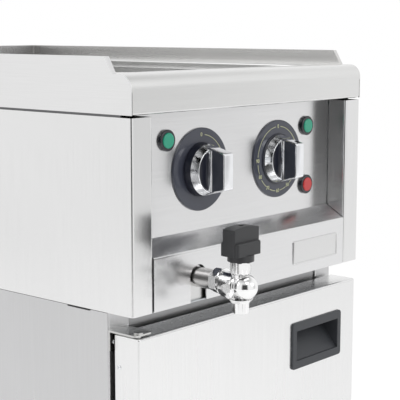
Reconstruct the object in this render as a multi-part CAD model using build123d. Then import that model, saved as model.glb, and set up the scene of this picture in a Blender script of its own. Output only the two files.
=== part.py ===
"""Floor-standing bain marie: a heated well on a base cabinet with one door.

Millimetres. +Z is up, -Y is the front, +X is the right-hand side seen from the front. The origin
is at floor level, under the middle of the whole object, tap and cable gland included.
"""
from build123d import *
import math
import os

# Whole unit
apron_bottom = 812.0        # height of the worktop apron's lower edge above the floor
apron_height = 40.0         # from there up to the flat of the worktop
body_height = 199.5         # side panels of the heated unit
shadow_gap = 2.5            # open joint between the worktop and the side panels
sheet = 1.2                 # casing sheet
deck_sheet = 1.5            # worktop sheet
fit_gap = 0.3               # play between parts that move past each other
overcut = 2.0               # how far a cutter runs past what it cuts
snap = 0.01                 # how near counts as the same plane

# Worktop, upstands and pan recess
nose_radius = 15.0
upstand_height = 17.0
upstand_thickness = 6.0
upstand_foot = 26.0         # from the front to the foot of the side upstand's slope
upstand_slope = 10.0
upstand_joint = 1.5         # open joint between the rear and the side upstands
apron_return = 12.0
recess_width = 336.0
recess_length = 540.0
recess_depth = 10.0
recess_front = 45.0         # from the front to the recess
recess_rear = 15.0          # from the recess to the rear
deck_side = 32.0            # from the recess to either side
recess_corner = 22.0
recess_edge = 3.0
ledge_width = 15.0          # pan ledge round the opening
opening_corner = 22.0
deck_rail_front = 16.0
deck_rail_rear = 20.0
deck_rail_leg = 30.0
deck_rail_shelf = 22.0

# Well tank
tank_lift = 52.0            # from the heated unit's lower edge up to the tank floor
tank_floor_radius = 20.0
tank_flange = 8.0
false_bottom_height = 30.0
false_bottom_play = 4.0
false_bottom_sheet = 1.5
perforation_radius = 5.0
perforation_pitch = 30.0
perforation_columns = 9
perforation_rows = 15
lift_hole_radius = 13.0
lift_hole_inset = 35.0
skirt_length = 70.0         # turned-down sides that the false bottom stands on
skirt_inset = 90.0
skirt_gap = 0.1

# Columns and control panel
column_width = 30.0
column_bend = 3.0
panel_setback = 25.5
lower_panel_height = 55.7   # from the heated unit's lower edge up to the sloping ledge
slope_drop = 14.7           # height of the sloping ledge
panel_side_gap = 1.0
panel_bend = 2.0
fascia_rise = 20.0          # fascia behind the worktop apron
fascia_fold = 15.0
rear_flange = 15.0
bracket_depth = 14.0
bracket_width = 16.0
bracket_foot_gap = 12.0
bracket_top_gap = 6.0
tray_edge = 15.0            # turned-up edges of the base tray
tray_edge_setback = 40.0
tray_gap = 2.0

# Dials, knobs and pilot lamps
dial_radius = 45.0
dial_thickness = 2.0
dial_chamfer = 0.5
knob_drop = 66.0            # from the apron's lower edge down to the knob axes
switch_inset = 131.0        # from the left side of the unit to the switch axis
thermostat_inset = 133.5    # from the right side of the unit to the thermostat axis
knob_rear_radius = 28.0
knob_front_radius = 24.5
knob_skirt = 9.2
knob_rim = 2.2
knob_wall = 2.0
knob_dish = 1.2
knob_boss_radius = 8.0
switch_knob_base = 8.2      # black disc between dial and knob
thermostat_knob_base = 1.6
knob_base_radius = 29.5
grip_thickness = 14.6
grip_reach = 21.0
grip_tip_height = 40.4
grip_base_height = 48.4
grip_edge = 1.5
grip_flare = 1.2            # widening at the foot of the cross bar, each side
grip_flare_height = 4.3
shaft_radius = 3.0
shaft_hole_clearance = 1.0
shaft_play = 0.05
pilot_bezel_radius = 11.5
pilot_bezel_reach = 3.5
pilot_bezel_edge = 1.2
pilot_seat = 2.0
pilot_lens_radius = 8.25
pilot_lens_reach = 1.5
pilot_lens_edge = 1.4
pilot_body_radius = 7.0
pilot_body_length = 26.0
pilot_inset = 77.0          # from either side of the unit to the pilot axes
pilot_upper_drop = 31.0     # from the apron's lower edge down to the green lamps
pilot_lower_lift = 30.1     # from the top of the sloping ledge up to the red lamp

# Controls behind the panel
control_depth = 28.0
control_corner = 2.0
shaft_end = 6.0             # how far a spindle reaches into its control
tab_spacing = 24.0
tab_width = 6.0
tab_length = 16.0
tab_thickness = 1.5
switch_width = 42.0
switch_height = 44.0
thermostat_width = 46.0
thermostat_height = 36.0
capillary_radius = 1.0
capillary_bend = 6.0
capillary_side = 8.0        # from the thermostat axis to the tube
capillary_drop = 4.0        # sag of the tube below the bulb
capillary_run = 20.0
bulb_setback = 60.0
bulb_radius = 3.2
bulb_length = 110.0
element_radius = 4.25
element_lift = 14.0
element_half_width = 110.0
element_loop = 28.0
element_rise = 20.0         # from the loops up to the studs in the front wall
element_setback = 70.0
element_bend = 12.0
element_flange = 4.0
element_stud = 12.0
element_margin = 15.0
element_corner = 5.0
limiter_width = 44.0
limiter_height = 34.0
limiter_depth = 24.0
limiter_corner = 3.0
limiter_drop = 70.0
limiter_inset = 80.0        # from the right side of the unit
reset_radius = 4.0
reset_travel = 2.5
reset_reach = 4.0
reset_well = 12.0
reset_edge = 0.8
terminal_length = 62.0
terminal_width = 26.0
terminal_height = 24.0
terminal_setback = 60.0
terminal_side = 20.0        # from the cable entry's axis to the block's end
terminal_ways = 5
terminal_hole_radius = 3.0
terminal_hole_inset = 8.0
terminal_hole_depth = 8.0

# Drain tap
tap_inset = 99.5            # from the left side of the unit to the pipe axis
tap_lift = 26.4             # from the heated unit's lower edge up to the pipe axis
tap_reach = 57.2            # from the lower panel forwards to the stem's axis
pipe_radius = 10.65
pipe_bore = 8.0
pipe_bend = 20.0
pipe_inlet_setback = 118.0
pipe_collar = 6.0
pipe_collar_height = 2.5
drain_hole_radius = 13.5
drain_slot_width = 25.4
patch_width = 44.0
patch_height = 46.0
patch_play = 1.0
patch_setback = 3.0         # behind the fascia
nut_rear = 23.2             # from the lower panel to the nut's rear face
nut_length = 10.0
nut_across_corners = 26.8
nut_chamfer = 1.2
nut_shank = 10.0            # length inside the pipe
nut_bore = 6.0
nut_ring_radius = 13.8      # thin ring between the nut and the tap body
nut_ring_width = 2.2
nut_groove_radius = 11.6    # groove on either side of the ring
nut_groove_width = 1.0
barrel_rear_radius = 13.6   # inlet side of the tap body, wider and lower to the front
barrel_rear_sink = 1.9
barrel_front_radius = 15.2
barrel_front_sink = 3.3
barrel_taper = 12.0
barrel_length = 19.0
barrel_flat = 14.2          # from the pipe axis to either spanner flat
barrel_edge = 4.0
case_offset = 5.4           # ball case in front of the stem's axis
case_sink = 1.8             # ball case below the pipe axis
ball_case_radius = 13.7
ball_radius = 8.5
ball_bore = 4.5
inlet_bore = 7.0
seat_length = 3.0
spout_radius = 8.8
spout_root_radius = 9.6
spout_flare_radius = 13.0
spout_flare_height = 4.0
spout_length = 10.6         # plain end that takes a hose
spout_bore = 6.0
spout_drop = 29.1           # from the pipe axis down to the spout's mouth
boss_radius = 9.4
boss_gap = 0.8
neck_radius = 7.5
neck_top = 12.1             # from the pipe axis up to the gland nut
neck_engagement = 4.0
gland_across_corners = 23.6
gland_chamfer = 1.0
gland_top = 24.6
stem_radius = 4.0
stem_clearance = 0.06
stem_engagement = 2.0       # how far the stem sits in the ball
stem_reach = 18.0           # from the gland nut up into the handle
handle_ring_radius = 13.9
handle_ring_height = 6.6
handle_block_width = 38.1
handle_block_depth = 23.7
handle_block_height = 14.1
handle_block_corner = 2.5
handle_block_edge = 2.0
handle_bar_width = 40.1
handle_bar_depth = 16.2
handle_bar_height = 15.9    # above the block
handle_bar_arch = 2.3
handle_bar_edge = 1.2
handle_screw_radius = 3.2
handle_screw_depth = 7.0
handle_screw_sink = 2.0
handle_screw_socket = 1.4

# Nameplate
plate_width = 88.0
plate_height = 27.5
plate_thickness = 1.5
plate_corner = 2.0
plate_inset = 45.5          # from the right side of the unit
plate_lift = 12.8           # above the heated unit's lower edge

# Rear panel
vent_width = 40.0
vent_height = 4.0
vent_pitch = 12.0
vent_rows = 6
vent_columns = 4
vent_column_pitch = 62.0
vent_drop = 40.0
vent_shift = 30.0           # vents lie to the left of the middle
gland_inset = 50.0          # from the left side of the unit
gland_lift = 42.0           # above the heated unit's lower edge
gland_radius = 10.0
gland_nut_radius = 13.5
gland_nut_length = 8.0
gland_reach = 24.0
gland_bore = 4.5
gland_thread_inner = 8.0    # thread inside the rear panel
gland_locknut = 5.0
gland_dome_step = 1.8
gland_dome_edge = 5.0
screw_radius = 4.0
screw_head = 1.6
screw_edge = 1.0
screw_inset = 12.0
cabinet_screw_inset = 30.0

# Base cabinet
cabinet_inset = 3.0         # narrower than the heated unit, each side
cabinet_setback = 38.5
cabinet_flange = 32.0
cabinet_hem = 12.0
cabinet_bend = 2.5
foot_height = 60.0
rail_height = 28.0          # its lower edge hides behind the door
rail_setback = 2.5
rail_depth = 30.0
rail_return = 15.0
floor_rise = 14.0
floor_gap = 1.0
floor_end_gap = 24.0        # at either end of the rear stiffener
cabinet_rear_flange = 20.0
back_fold = 18.0
back_fold_gap = 3.0

# Door
door_left = 7.0             # from the left side of the unit
door_right = 5.0            # from the right side of the unit
door_front = -1.0
door_rear = 33.0
door_top_gap = 23.0         # below the heated unit
door_bottom_gap = 8.0
door_edge_radius = 2.5
liner_depth = 20.0
liner_corner = 2.0
pull_inset = 81.5           # from the door's right edge to the pull's middle
pull_drop = 62.0            # from the door's top to the pull's middle
pull_width = 99.0
pull_height = 56.0
pull_flange = 2.5
pull_corner = 4.0
pull_edge = 1.0
pull_opening_width = 84.0
pull_opening_height = 36.0
pull_depth = 21.0
pull_wall = 1.6
pull_wall_height = 9.0
hinge_x = 12.5
hinge_y = 5.0
hinge_sheet = 2.0
hinge_gap = 2.0
hinge_pin_radius = 3.0
hinge_pin_clearance = 0.05
hinge_pin_depth = 16.0
hinge_head_radius = 5.0
hinge_head_height = 1.8
bush_gap = 0.1              # between a bush and the door sheet beside it
bush_end = 2.0              # bush beyond the pin's end
hinge_plate_setback = 1.5
hinge_plate_width = 27.0
hinge_leg = 22.0
hinge_corner = 5.0
catch_width = 18.0
catch_length = 42.0
catch_corner = 2.0
catch_drop = 75.0           # below the door's top
strike_thickness = 1.0
strike_margin = 2.0
bumper_radius = 5.0
bumper_thickness = 4.8
bumper_drop = 25.0
bumper_lift = 30.0

# Feet
foot_inset = 42.0
foot_plate = 60.0
foot_plate_thickness = 3.0
sleeve_radius = 19.0
sleeve_bore = 15.0
sleeve_length = 34.0
foot_thread_gap = 6.0
foot_pad_radius = 20.0
foot_pad_height = 9.0
foot_pad_edge = 1.5

# Places that follow from the sizes above
unit_width = recess_width + 2 * deck_side
unit_depth = recess_front + recess_length + recess_rear
front_reach = tap_reach + max(case_offset + ball_case_radius, handle_ring_radius, handle_block_depth / 2)
rear_reach = gland_reach
face_y = front_reach - (front_reach + unit_depth + rear_reach) / 2
rear_y = face_y + unit_depth
half_width = unit_width / 2
deck_z = apron_bottom + apron_height
upstand_z = deck_z + upstand_height
ledge_z = deck_z - recess_depth
side_top_z = apron_bottom - shadow_gap
base_z = side_top_z - body_height
tank_floor_z = base_z + tank_lift
panel_y = face_y + panel_setback
slope_bottom_z = base_z + lower_panel_height
panel_bottom_z = slope_bottom_z + slope_drop
knob_z = apron_bottom - knob_drop
switch_x = switch_inset - half_width
thermostat_x = half_width - thermostat_inset
limiter_x = half_width - limiter_inset
limiter_z = apron_bottom - limiter_drop
gland_x = gland_inset - half_width
gland_z = base_z + gland_lift
opening_width = recess_width - 2 * ledge_width
opening_length = recess_length - 2 * ledge_width
well_y = face_y + recess_front + recess_length / 2
tank_front_y = well_y - opening_length / 2
tank_rear_y = well_y + opening_length / 2
tap_y = face_y - tap_reach
tap_x = tap_inset - half_width
tap_z = base_z + tap_lift
pipe_front_y = face_y - nut_rear
nut_front_y = pipe_front_y - nut_length
body_rear_y = nut_front_y - nut_ring_width - 2 * nut_groove_width
cabinet_y = face_y + cabinet_setback
cabinet_half = half_width - cabinet_inset
door_front_y = face_y + door_front
door_rear_y = face_y + door_rear
door_x0 = door_left - half_width
door_x1 = half_width - door_right
door_z1 = base_z - door_top_gap
door_z0 = foot_height + door_bottom_gap
hinge_pin_x = hinge_x - half_width
bush_radius = min(hinge_x - door_left, hinge_y - door_front) - sheet - bush_gap
hinge_pin_y = face_y + hinge_y
pull_x = door_x1 - pull_inset
pull_z = door_z1 - pull_drop
pilot_left_x = pilot_inset - half_width
pilot_right_x = half_width - pilot_inset


def block(x0, x1, y0, y1, z0, z1):
    """Rectangular solid between two corners."""
    return Pos((x0 + x1) / 2, (y0 + y1) / 2, (z0 + z1) / 2) * Box(x1 - x0, y1 - y0, z1 - z0)


def rod_y(radius, x, z, y0, y1):
    """Round bar that runs front to back."""
    return Pos(x, (y0 + y1) / 2, z) * Rot(90, 0, 0) * Cylinder(radius, y1 - y0)


def rod_z(radius, x, y, z0, z1):
    """Upright round bar."""
    return Pos(x, y, (z0 + z1) / 2) * Cylinder(radius, z1 - z0)


def cone_y(rear_radius, front_radius, x, z, y_rear, y_front):
    """Round taper from a rear plane forwards to a front plane."""
    place = Pos(x, (y_rear + y_front) / 2, z) * Rot(90, 0, 0)
    return place * Cone(rear_radius, front_radius, y_rear - y_front)


def side_section(points, x0, x1):
    """Solid with an outline in the side view, between two X values."""
    outline = make_face(Polyline(*points, close=True))
    return extrude(Plane.YZ.offset(x0) * outline, amount=x1 - x0)


def folded_plan(points, bend, z0, z1, thickness=sheet):
    """Upright sheet bent along a line of points in plan; the line is its middle surface."""
    path = FilletPolyline(*points, radius=bend)
    return extrude(Plane.XY.offset(z0) * trace(path, line_width=thickness), amount=z1 - z0)


def folded_side(points, bend, x0, x1, thickness=sheet):
    """Sheet bent along a line of points in the side view; the line is its middle surface."""
    path = FilletPolyline(*points, radius=bend)
    return extrude(Plane.YZ.offset(x0) * trace(path, line_width=thickness), amount=x1 - x0)


def rounded_block(width, length, corner, x, y, z0, z1):
    """Upright prism with a round-cornered rectangle as its plan."""
    return extrude(Pos(x, y, z0) * RectangleRounded(width, length, corner), amount=z1 - z0)


def hex_y(across_corners, x, z, y0, y1, turn=0):
    """Hexagonal bar that runs front to back, with a corner at the turn's angle."""
    outline = Rot(0, 0, turn) * RegularPolygon(across_corners / 2, 6)
    return extrude(Pos(x, y0, z) * Rot(-90, 0, 0) * outline, amount=y1 - y0)


def mirrored(shape):
    """The same shape on the other side of the middle plane."""
    return mirror(shape, about=Plane.YZ)


def worktop():
    """Flat deck with a round nose, an apron and the stepped recess for the pan."""
    half = deck_sheet / 2
    mid_top = deck_z - half
    points = [
        (rear_y - upstand_thickness, mid_top),
        (face_y + half, mid_top),
        (face_y + half, apron_bottom + half),
        (face_y + apron_return, apron_bottom + half),
    ]
    bends = [nose_radius - half, deck_sheet]
    deck = folded_side(points, bends, sheet - half_width, half_width - sheet, deck_sheet)
    outer = rounded_block(
        recess_width + 2 * deck_sheet, recess_length + 2 * deck_sheet, recess_corner + deck_sheet,
        0, well_y, ledge_z - deck_sheet, deck_z)
    pocket = rounded_block(recess_width, recess_length, recess_corner, 0, well_y, ledge_z, deck_z + overcut)
    opening = rounded_block(
        opening_width, opening_length, opening_corner,
        0, well_y, ledge_z - deck_sheet - overcut, deck_z + overcut)
    deck = deck + outer - pocket - opening
    rim = [
        edge for edge in deck.edges()
        if abs(edge.center().Z - deck_z) < snap
        and edge.bounding_box().min.Y > well_y - recess_length / 2 - snap
        and edge.bounding_box().max.Y < well_y + recess_length / 2 + snap
        and abs(edge.center().X) < recess_width / 2 + snap
    ]
    return fillet(rim, recess_edge)


def end_plate():
    """Left end of the worktop: a flat plate with a folded upstand along its top."""
    arc_middle = nose_radius * (1 - math.sqrt(0.5))
    foot_y = face_y + upstand_foot
    top_y = foot_y + upstand_slope
    outline = make_face([
        Line((face_y, apron_bottom), (face_y, deck_z - nose_radius)),
        ThreePointArc(
            (face_y, deck_z - nose_radius), (face_y + arc_middle, deck_z - arc_middle),
            (face_y + nose_radius, deck_z)),
        Line((face_y + nose_radius, deck_z), (foot_y, deck_z)),
        Line((foot_y, deck_z), (top_y, upstand_z)),
        Line((top_y, upstand_z), (rear_y, upstand_z)),
        Line((rear_y, upstand_z), (rear_y, apron_bottom)),
        Line((rear_y, apron_bottom), (face_y, apron_bottom)),
    ])
    plate = extrude(Plane.YZ.offset(-half_width) * outline, amount=sheet)
    upstand = side_section(
        [(foot_y, deck_z), (top_y, upstand_z), (rear_y, upstand_z), (rear_y, deck_z)],
        -half_width, upstand_thickness - half_width)
    inside = side_section(
        [(foot_y + 2 * sheet, deck_z), (top_y + sheet, upstand_z - sheet),
         (rear_y - sheet, upstand_z - sheet), (rear_y - sheet, deck_z)],
        sheet - half_width, upstand_thickness - sheet - half_width)
    return plate + upstand - inside


def rear_upstand():
    """Rear skirt of the worktop, folded over into an upstand."""
    reach = half_width - upstand_thickness - upstand_joint
    wall = block(sheet - half_width, half_width - sheet, rear_y - sheet, rear_y, apron_bottom, deck_z)
    fold = block(-reach, reach, rear_y - upstand_thickness, rear_y, deck_z, upstand_z)
    inside = block(
        sheet - reach, reach - sheet, rear_y - upstand_thickness + sheet, rear_y - sheet,
        deck_z, upstand_z - sheet)
    shelf = block(
        sheet - half_width, half_width - sheet, rear_y - upstand_thickness, rear_y - sheet,
        deck_z - deck_sheet, deck_z)
    return wall + fold - inside + shelf


def deck_rails():
    """Angles under the deck that carry it on the side panels."""
    top = deck_z - deck_sheet
    outer = sheet - half_width
    front = face_y + deck_rail_front
    rear = rear_y - deck_rail_rear
    leg = block(outer, outer + deck_sheet, front, rear, side_top_z - deck_rail_leg, top)
    shelf = block(outer, outer + deck_rail_shelf, front, rear, top - deck_sheet, top)
    left = leg + shelf
    return [left, mirrored(left)]


def well_tank():
    """Deep-drawn water tank hung under the pan ledge."""
    top = ledge_z - deck_sheet
    flange = rounded_block(
        opening_width + 2 * (sheet + tank_flange), opening_length + 2 * (sheet + tank_flange),
        opening_corner + sheet, 0, well_y, top - sheet, top)
    outer = rounded_block(
        opening_width + 2 * sheet, opening_length + 2 * sheet, opening_corner + sheet,
        0, well_y, tank_floor_z - sheet, top)
    outer = fillet(outer.edges().group_by(Axis.Z)[0], tank_floor_radius + sheet)
    inner = rounded_block(
        opening_width, opening_length, opening_corner, 0, well_y, tank_floor_z, top + overcut)
    inner = fillet(inner.edges().group_by(Axis.Z)[0], tank_floor_radius)
    drain = rod_z(pipe_bore, tap_x, face_y + pipe_inlet_setback,
                  tank_floor_z - sheet - overcut, tank_floor_z + overcut)
    tank = flange + outer - inner - drain
    for offset in (-element_loop, element_loop):
        tank -= rod_y(element_radius, offset, tank_floor_z + element_lift + element_rise,
                      tank_front_y - sheet - overcut, tank_front_y + overcut)
    return tank


def false_bottom():
    """Perforated plate with turned-down sides that keeps the pan off the element."""
    width = opening_width - 2 * false_bottom_play
    length = opening_length - 2 * false_bottom_play
    top = tank_floor_z + false_bottom_height + element_lift
    low = top - false_bottom_sheet
    plate = rounded_block(width, length, opening_corner - false_bottom_play, 0, well_y, low, top)
    grid = GridLocations(perforation_pitch, perforation_pitch, perforation_columns, perforation_rows)
    lift_places = GridLocations(0, length - 2 * lift_hole_inset, 1, 2)
    holes = [place * Circle(perforation_radius) for place in grid]
    holes += [place * Circle(lift_hole_radius) for place in lift_places]
    below = Pos(0, well_y, low - overcut)
    plate -= extrude(below * (Sketch() + holes), amount=false_bottom_sheet + 2 * overcut)
    half = false_bottom_sheet / 2
    for side in (-1, 1):
        edge = side * (width / 2 - tank_floor_radius)
        for end in (-1, 1):
            middle = well_y + end * (length / 2 - skirt_inset)
            plate += block(edge - half, edge + half, middle - skirt_length / 2, middle + skirt_length / 2,
                           tank_floor_z + skirt_gap, top - half)
    return plate


def side_panel():
    """Left side of the heated unit, folded round into the front column."""
    half = sheet / 2
    left = half - half_width
    column = column_width - half - half_width
    points = [
        (left + rear_flange, rear_y - sheet - half),
        (left, rear_y - sheet - half),
        (left, face_y + half),
        (column, face_y + half),
        (column, panel_y + sheet + bracket_depth),
    ]
    return folded_plan(points, column_bend - half, base_z, side_top_z)


def control_fascia():
    """Control panel, sloping ledge and lower panel in one folded sheet."""
    half = sheet / 2
    top = apron_bottom + fascia_rise
    points = [
        (panel_y + fascia_fold, top - half),
        (panel_y + half, top - half),
        (panel_y + half, panel_bottom_z),
        (face_y + half, slope_bottom_z),
        (face_y + half, base_z),
    ]
    reach = half_width - column_width - panel_side_gap
    fascia = folded_side(points, panel_bend, -reach, reach)
    panel_cut = (panel_y - overcut, panel_y + sheet + overcut)
    face_cut = (face_y - overcut, face_y + sheet + overcut)
    for x in (switch_x, thermostat_x):
        fascia -= rod_y(shaft_radius + shaft_hole_clearance, x, knob_z, *panel_cut)
    for x, z in pilot_places():
        fascia -= rod_y(pilot_body_radius, x, z, *panel_cut)
    fascia -= rod_y(drain_hole_radius, tap_x, tap_z, *face_cut)
    half_slot = drain_slot_width / 2
    fascia -= block(tap_x - half_slot, tap_x + half_slot, *face_cut, base_z - overcut, tap_z)
    return fascia


def pilot_places():
    """Axis of each pilot lamp: two green ones and the red one below."""
    upper = apron_bottom - pilot_upper_drop
    return [
        (pilot_left_x, upper),
        (pilot_right_x, upper),
        (pilot_right_x, panel_bottom_z + pilot_lower_lift),
    ]


def fascia_brackets():
    """Small angles that fix the fascia to the columns."""
    edge = column_width - half_width
    back = panel_y + sheet
    low = panel_bottom_z + bracket_foot_gap
    high = side_top_z - bracket_top_gap
    leg = block(edge, edge + panel_side_gap, back, back + bracket_depth, low, high)
    flat = block(edge, edge + bracket_width, back, back + sheet, low, high)
    left = leg + flat
    return [left, mirrored(left)]


def back_panel():
    """Flat rear panel with vent slots, the cable entry and the reset hole."""
    panel = block(-half_width, half_width, rear_y - sheet, rear_y, base_z, side_top_z)
    grid = GridLocations(vent_column_pitch, vent_pitch, vent_columns, vent_rows)
    middle = side_top_z - vent_drop - vent_pitch * (vent_rows - 1) / 2
    cutter = Sketch() + [place * SlotOverall(vent_width, vent_height) for place in grid]
    place = Pos(-vent_shift, rear_y + overcut, middle) * Rot(90, 0, 0)
    panel -= extrude(place * cutter, amount=sheet + 2 * overcut)
    cut = (rear_y - sheet - overcut, rear_y + overcut)
    panel -= rod_y(gland_radius, gland_x, gland_z, *cut)
    return panel - rod_y(reset_radius + fit_gap, limiter_x, limiter_z, *cut)


def base_tray():
    """Bottom cover of the heated unit with turned-up edges."""
    reach = half_width - sheet
    front = face_y + sheet
    rear = rear_y - 2 * sheet
    low = base_z
    high = base_z + tray_edge
    column = half_width - column_width
    column_rear = panel_y + sheet + bracket_depth + tray_gap / 2
    tray = block(-reach, reach, front, rear, low, low + sheet)
    for side in (-1, 1):
        edge = side * (reach - sheet / 2)
        tray += block(edge - sheet / 2, edge + sheet / 2,
                      front + tray_edge_setback, rear - tray_gap, low, high)
        middle = side * (half_width + column - sheet / 2) / 2
        half = (half_width - column + sheet / 2) / 2
        tray -= block(middle - half, middle + half, front - overcut, column_rear, low - overcut, high)
        tray -= block(middle - half, middle + half,
                      rear - column_bend, rear + overcut, low - overcut, high + overcut)
    fold = block(tray_gap - column, column - tray_gap, front, front + sheet, low, high)
    gap = patch_width / 2
    fold -= block(tap_x - gap, tap_x + gap,
                  front - overcut, front + sheet + overcut, low + sheet, high + overcut)
    return tray + fold


def slot_patch():
    """Cover plate behind the drain slot, with a close hole for the pipe."""
    front = face_y + sheet + patch_setback
    low = base_z + sheet
    half = patch_width / 2 - patch_play
    patch = block(tap_x - half, tap_x + half, front, front + sheet, low, low + patch_height)
    return patch - rod_y(pipe_radius, tap_x, tap_z, front - overcut, front + sheet + overcut)


def nameplate():
    """Plain plate with rounded corners on the lower panel."""
    x = half_width - plate_inset - plate_width / 2
    middle = Pos(x, face_y, base_z + plate_lift + plate_height / 2)
    outline = RectangleRounded(plate_width, plate_height, plate_corner)
    return extrude(middle * Rot(90, 0, 0) * outline, amount=plate_thickness)


def dial_plate(x):
    """Printed round plate behind a knob."""
    plate = rod_y(dial_radius, x, knob_z, panel_y - dial_thickness, panel_y)
    plate = chamfer(plate.edges().group_by(Axis.Y)[0], dial_chamfer)
    hole = shaft_radius + shaft_hole_clearance
    return plate - rod_y(hole, x, knob_z, panel_y - dial_thickness - overcut, panel_y + overcut)


def knob_rear_y(base_thickness):
    """Rear plane of a knob's metal skirt."""
    return panel_y - dial_thickness - fit_gap - base_thickness


def grip_bar(x, front):
    """Cross bar of a knob, narrower at its tip and flared at its foot."""
    foot = front + knob_dish + knob_wall
    tip = front - grip_reach
    half_tip = grip_tip_height / 2
    half_base = grip_base_height / 2
    half = grip_thickness / 2
    outline = make_face(Polyline(
        (foot, half_base), (front, half_base), (tip, half_tip),
        (tip, -half_tip), (front, -half_base), (foot, -half_base), close=True))
    cut = Plane(origin=(x - half, 0, knob_z), x_dir=(0, 1, 0), z_dir=(1, 0, 0))
    bar = extrude(cut * outline, amount=grip_thickness)
    bar = fillet(bar.faces().sort_by(Axis.Y)[0].edges(), grip_edge)
    face = front + knob_dish
    flare_end = face - grip_flare_height
    reach = knob_front_radius - knob_rim - grip_flare
    wide = half + grip_flare
    section = make_face(Polyline(
        (x - wide, foot), (x + wide, foot), (x + wide, face), (x + half, flare_end),
        (x - half, flare_end), (x - wide, face), close=True))
    return bar + extrude(Pos(0, 0, knob_z - reach) * section, amount=2 * reach)


def knob_shell(x, base_thickness):
    """Metal knob: tapered skirt, raised rim, cross bar and hollow dishes."""
    rear = knob_rear_y(base_thickness)
    front = rear - knob_skirt
    web_front = front + knob_dish + knob_wall
    web_rear = web_front + knob_wall
    inner = knob_front_radius - knob_rim
    shell = cone_y(knob_rear_radius, knob_front_radius, x, knob_z, rear, front)
    shell -= rod_y(inner, x, knob_z, front - overcut, web_front)
    shell -= rod_y(inner, x, knob_z, web_rear, rear + overcut)
    boss = rod_y(knob_boss_radius, x, knob_z, web_front, rear)
    bore = rod_y(shaft_radius, x, knob_z, web_rear, rear + overcut)
    return shell + grip_bar(x, front) + boss - bore


def knob_inserts(x, base_thickness):
    """Black half-discs beside the bar and the black disc behind the knob."""
    rear = knob_rear_y(base_thickness)
    front = rear - knob_skirt
    face = front + knob_dish
    back = rear + base_thickness
    disc = rod_y(knob_front_radius - knob_rim, x, knob_z, face, face + knob_wall)
    side = grip_thickness / 2 + grip_flare
    disc -= block(x - side, x + side, face - overcut, face + knob_wall + overcut,
                  knob_z - knob_rear_radius, knob_z + knob_rear_radius)
    disc_base = cone_y(knob_base_radius, knob_rear_radius, x, knob_z, back, rear)
    disc_base -= rod_y(shaft_radius, x, knob_z, rear - overcut, back + overcut)
    return list(disc.solids()) + [disc_base]


def control_shaft(x, base_thickness):
    """Spindle between a knob and the control behind the panel."""
    front = knob_rear_y(base_thickness) - knob_skirt + knob_dish + 2 * knob_wall
    return rod_y(shaft_radius, x, knob_z, front, panel_y + sheet + shaft_end)


def control_body(x, width, height):
    """Housing of a control behind the panel, with a collar for its spindle."""
    front = panel_y + sheet
    rear = front + control_depth
    body = block(x - width / 2, x + width / 2, front, rear, knob_z - height / 2, knob_z + height / 2)
    body = fillet(body.edges().filter_by(Axis.Y), control_corner)
    body -= rod_y(shaft_radius + shaft_play, x, knob_z, front - overcut, front + shaft_end + fit_gap)
    for side in (-1, 1):
        middle = x + side * tab_spacing / 2
        body += block(middle - tab_width / 2, middle + tab_width / 2, rear, rear + tab_thickness,
                      knob_z - tab_length / 2, knob_z + tab_length / 2)
    return body


def capillary():
    """Thermostat bulb under the tank with the thin tube that feeds it."""
    start_y = panel_y + sheet + control_depth - capillary_bend
    tube_x = thermostat_x + capillary_side
    low = tank_floor_z - sheet - bulb_radius
    bulb_y = tank_front_y + bulb_setback
    points = [
        (tube_x, start_y, knob_z - thermostat_height / 2),
        (tube_x, start_y, low - capillary_drop),
        (tube_x, start_y + capillary_run, low - 2 * capillary_drop),
        (tube_x, bulb_y - capillary_run, low),
        (tube_x, bulb_y, low),
    ]
    path = FilletPolyline(*points, radius=capillary_bend)
    tube = sweep(Pos(*points[0]) * Circle(capillary_radius), path=path)
    return [tube, rod_y(bulb_radius, tube_x, low, bulb_y, bulb_y + bulb_length)]


def heating_element():
    """Tubular element that loops over the tank floor, brazed to its flange and studs."""
    level = tank_floor_z + element_lift
    entry = level + element_rise
    front = tank_front_y - sheet - element_flange
    near = tank_front_y + element_setback
    far = tank_rear_y - element_setback
    outer = element_half_width
    middle = element_half_width / 2
    points = [
        (-element_loop, front - element_stud, entry),
        (-element_loop, near - 2 * element_rise, entry),
        (-element_loop, near, level),
        (-outer, near, level),
        (-outer, far, level),
        (-middle, far, level),
        (-middle, near + 2 * element_loop, level),
        (0, near + 2 * element_loop, level),
    ]
    path = FilletPolyline(*points, radius=element_bend)
    section = Plane(origin=points[0], z_dir=(0, 1, 0)) * Circle(element_radius)
    half = sweep(section, path=path)
    reach = element_loop + element_margin
    flange = block(-reach, reach, front, tank_front_y - sheet, entry - element_margin, entry + element_margin)
    flange = fillet(flange.edges().filter_by(Axis.Y), element_corner)
    return half + mirrored(half) + flange


def limiter_body():
    """Overheat limiter behind the rear panel."""
    rear = rear_y - sheet
    body = block(limiter_x - limiter_width / 2, limiter_x + limiter_width / 2, rear - limiter_depth, rear,
                 limiter_z - limiter_height / 2, limiter_z + limiter_height / 2)
    body = fillet(body.edges().filter_by(Axis.Y), limiter_corner)
    return body - rod_y(reset_radius + fit_gap, limiter_x, limiter_z, rear - reset_well, rear + overcut)


def reset_button():
    """Push button of the overheat limiter, standing out of the rear panel."""
    inner = rear_y - sheet - reset_well + reset_travel + fit_gap
    button = rod_y(reset_radius, limiter_x, limiter_z, inner, rear_y + reset_reach)
    return fillet(button.edges().group_by(Axis.Y)[-1], reset_edge)


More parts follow.
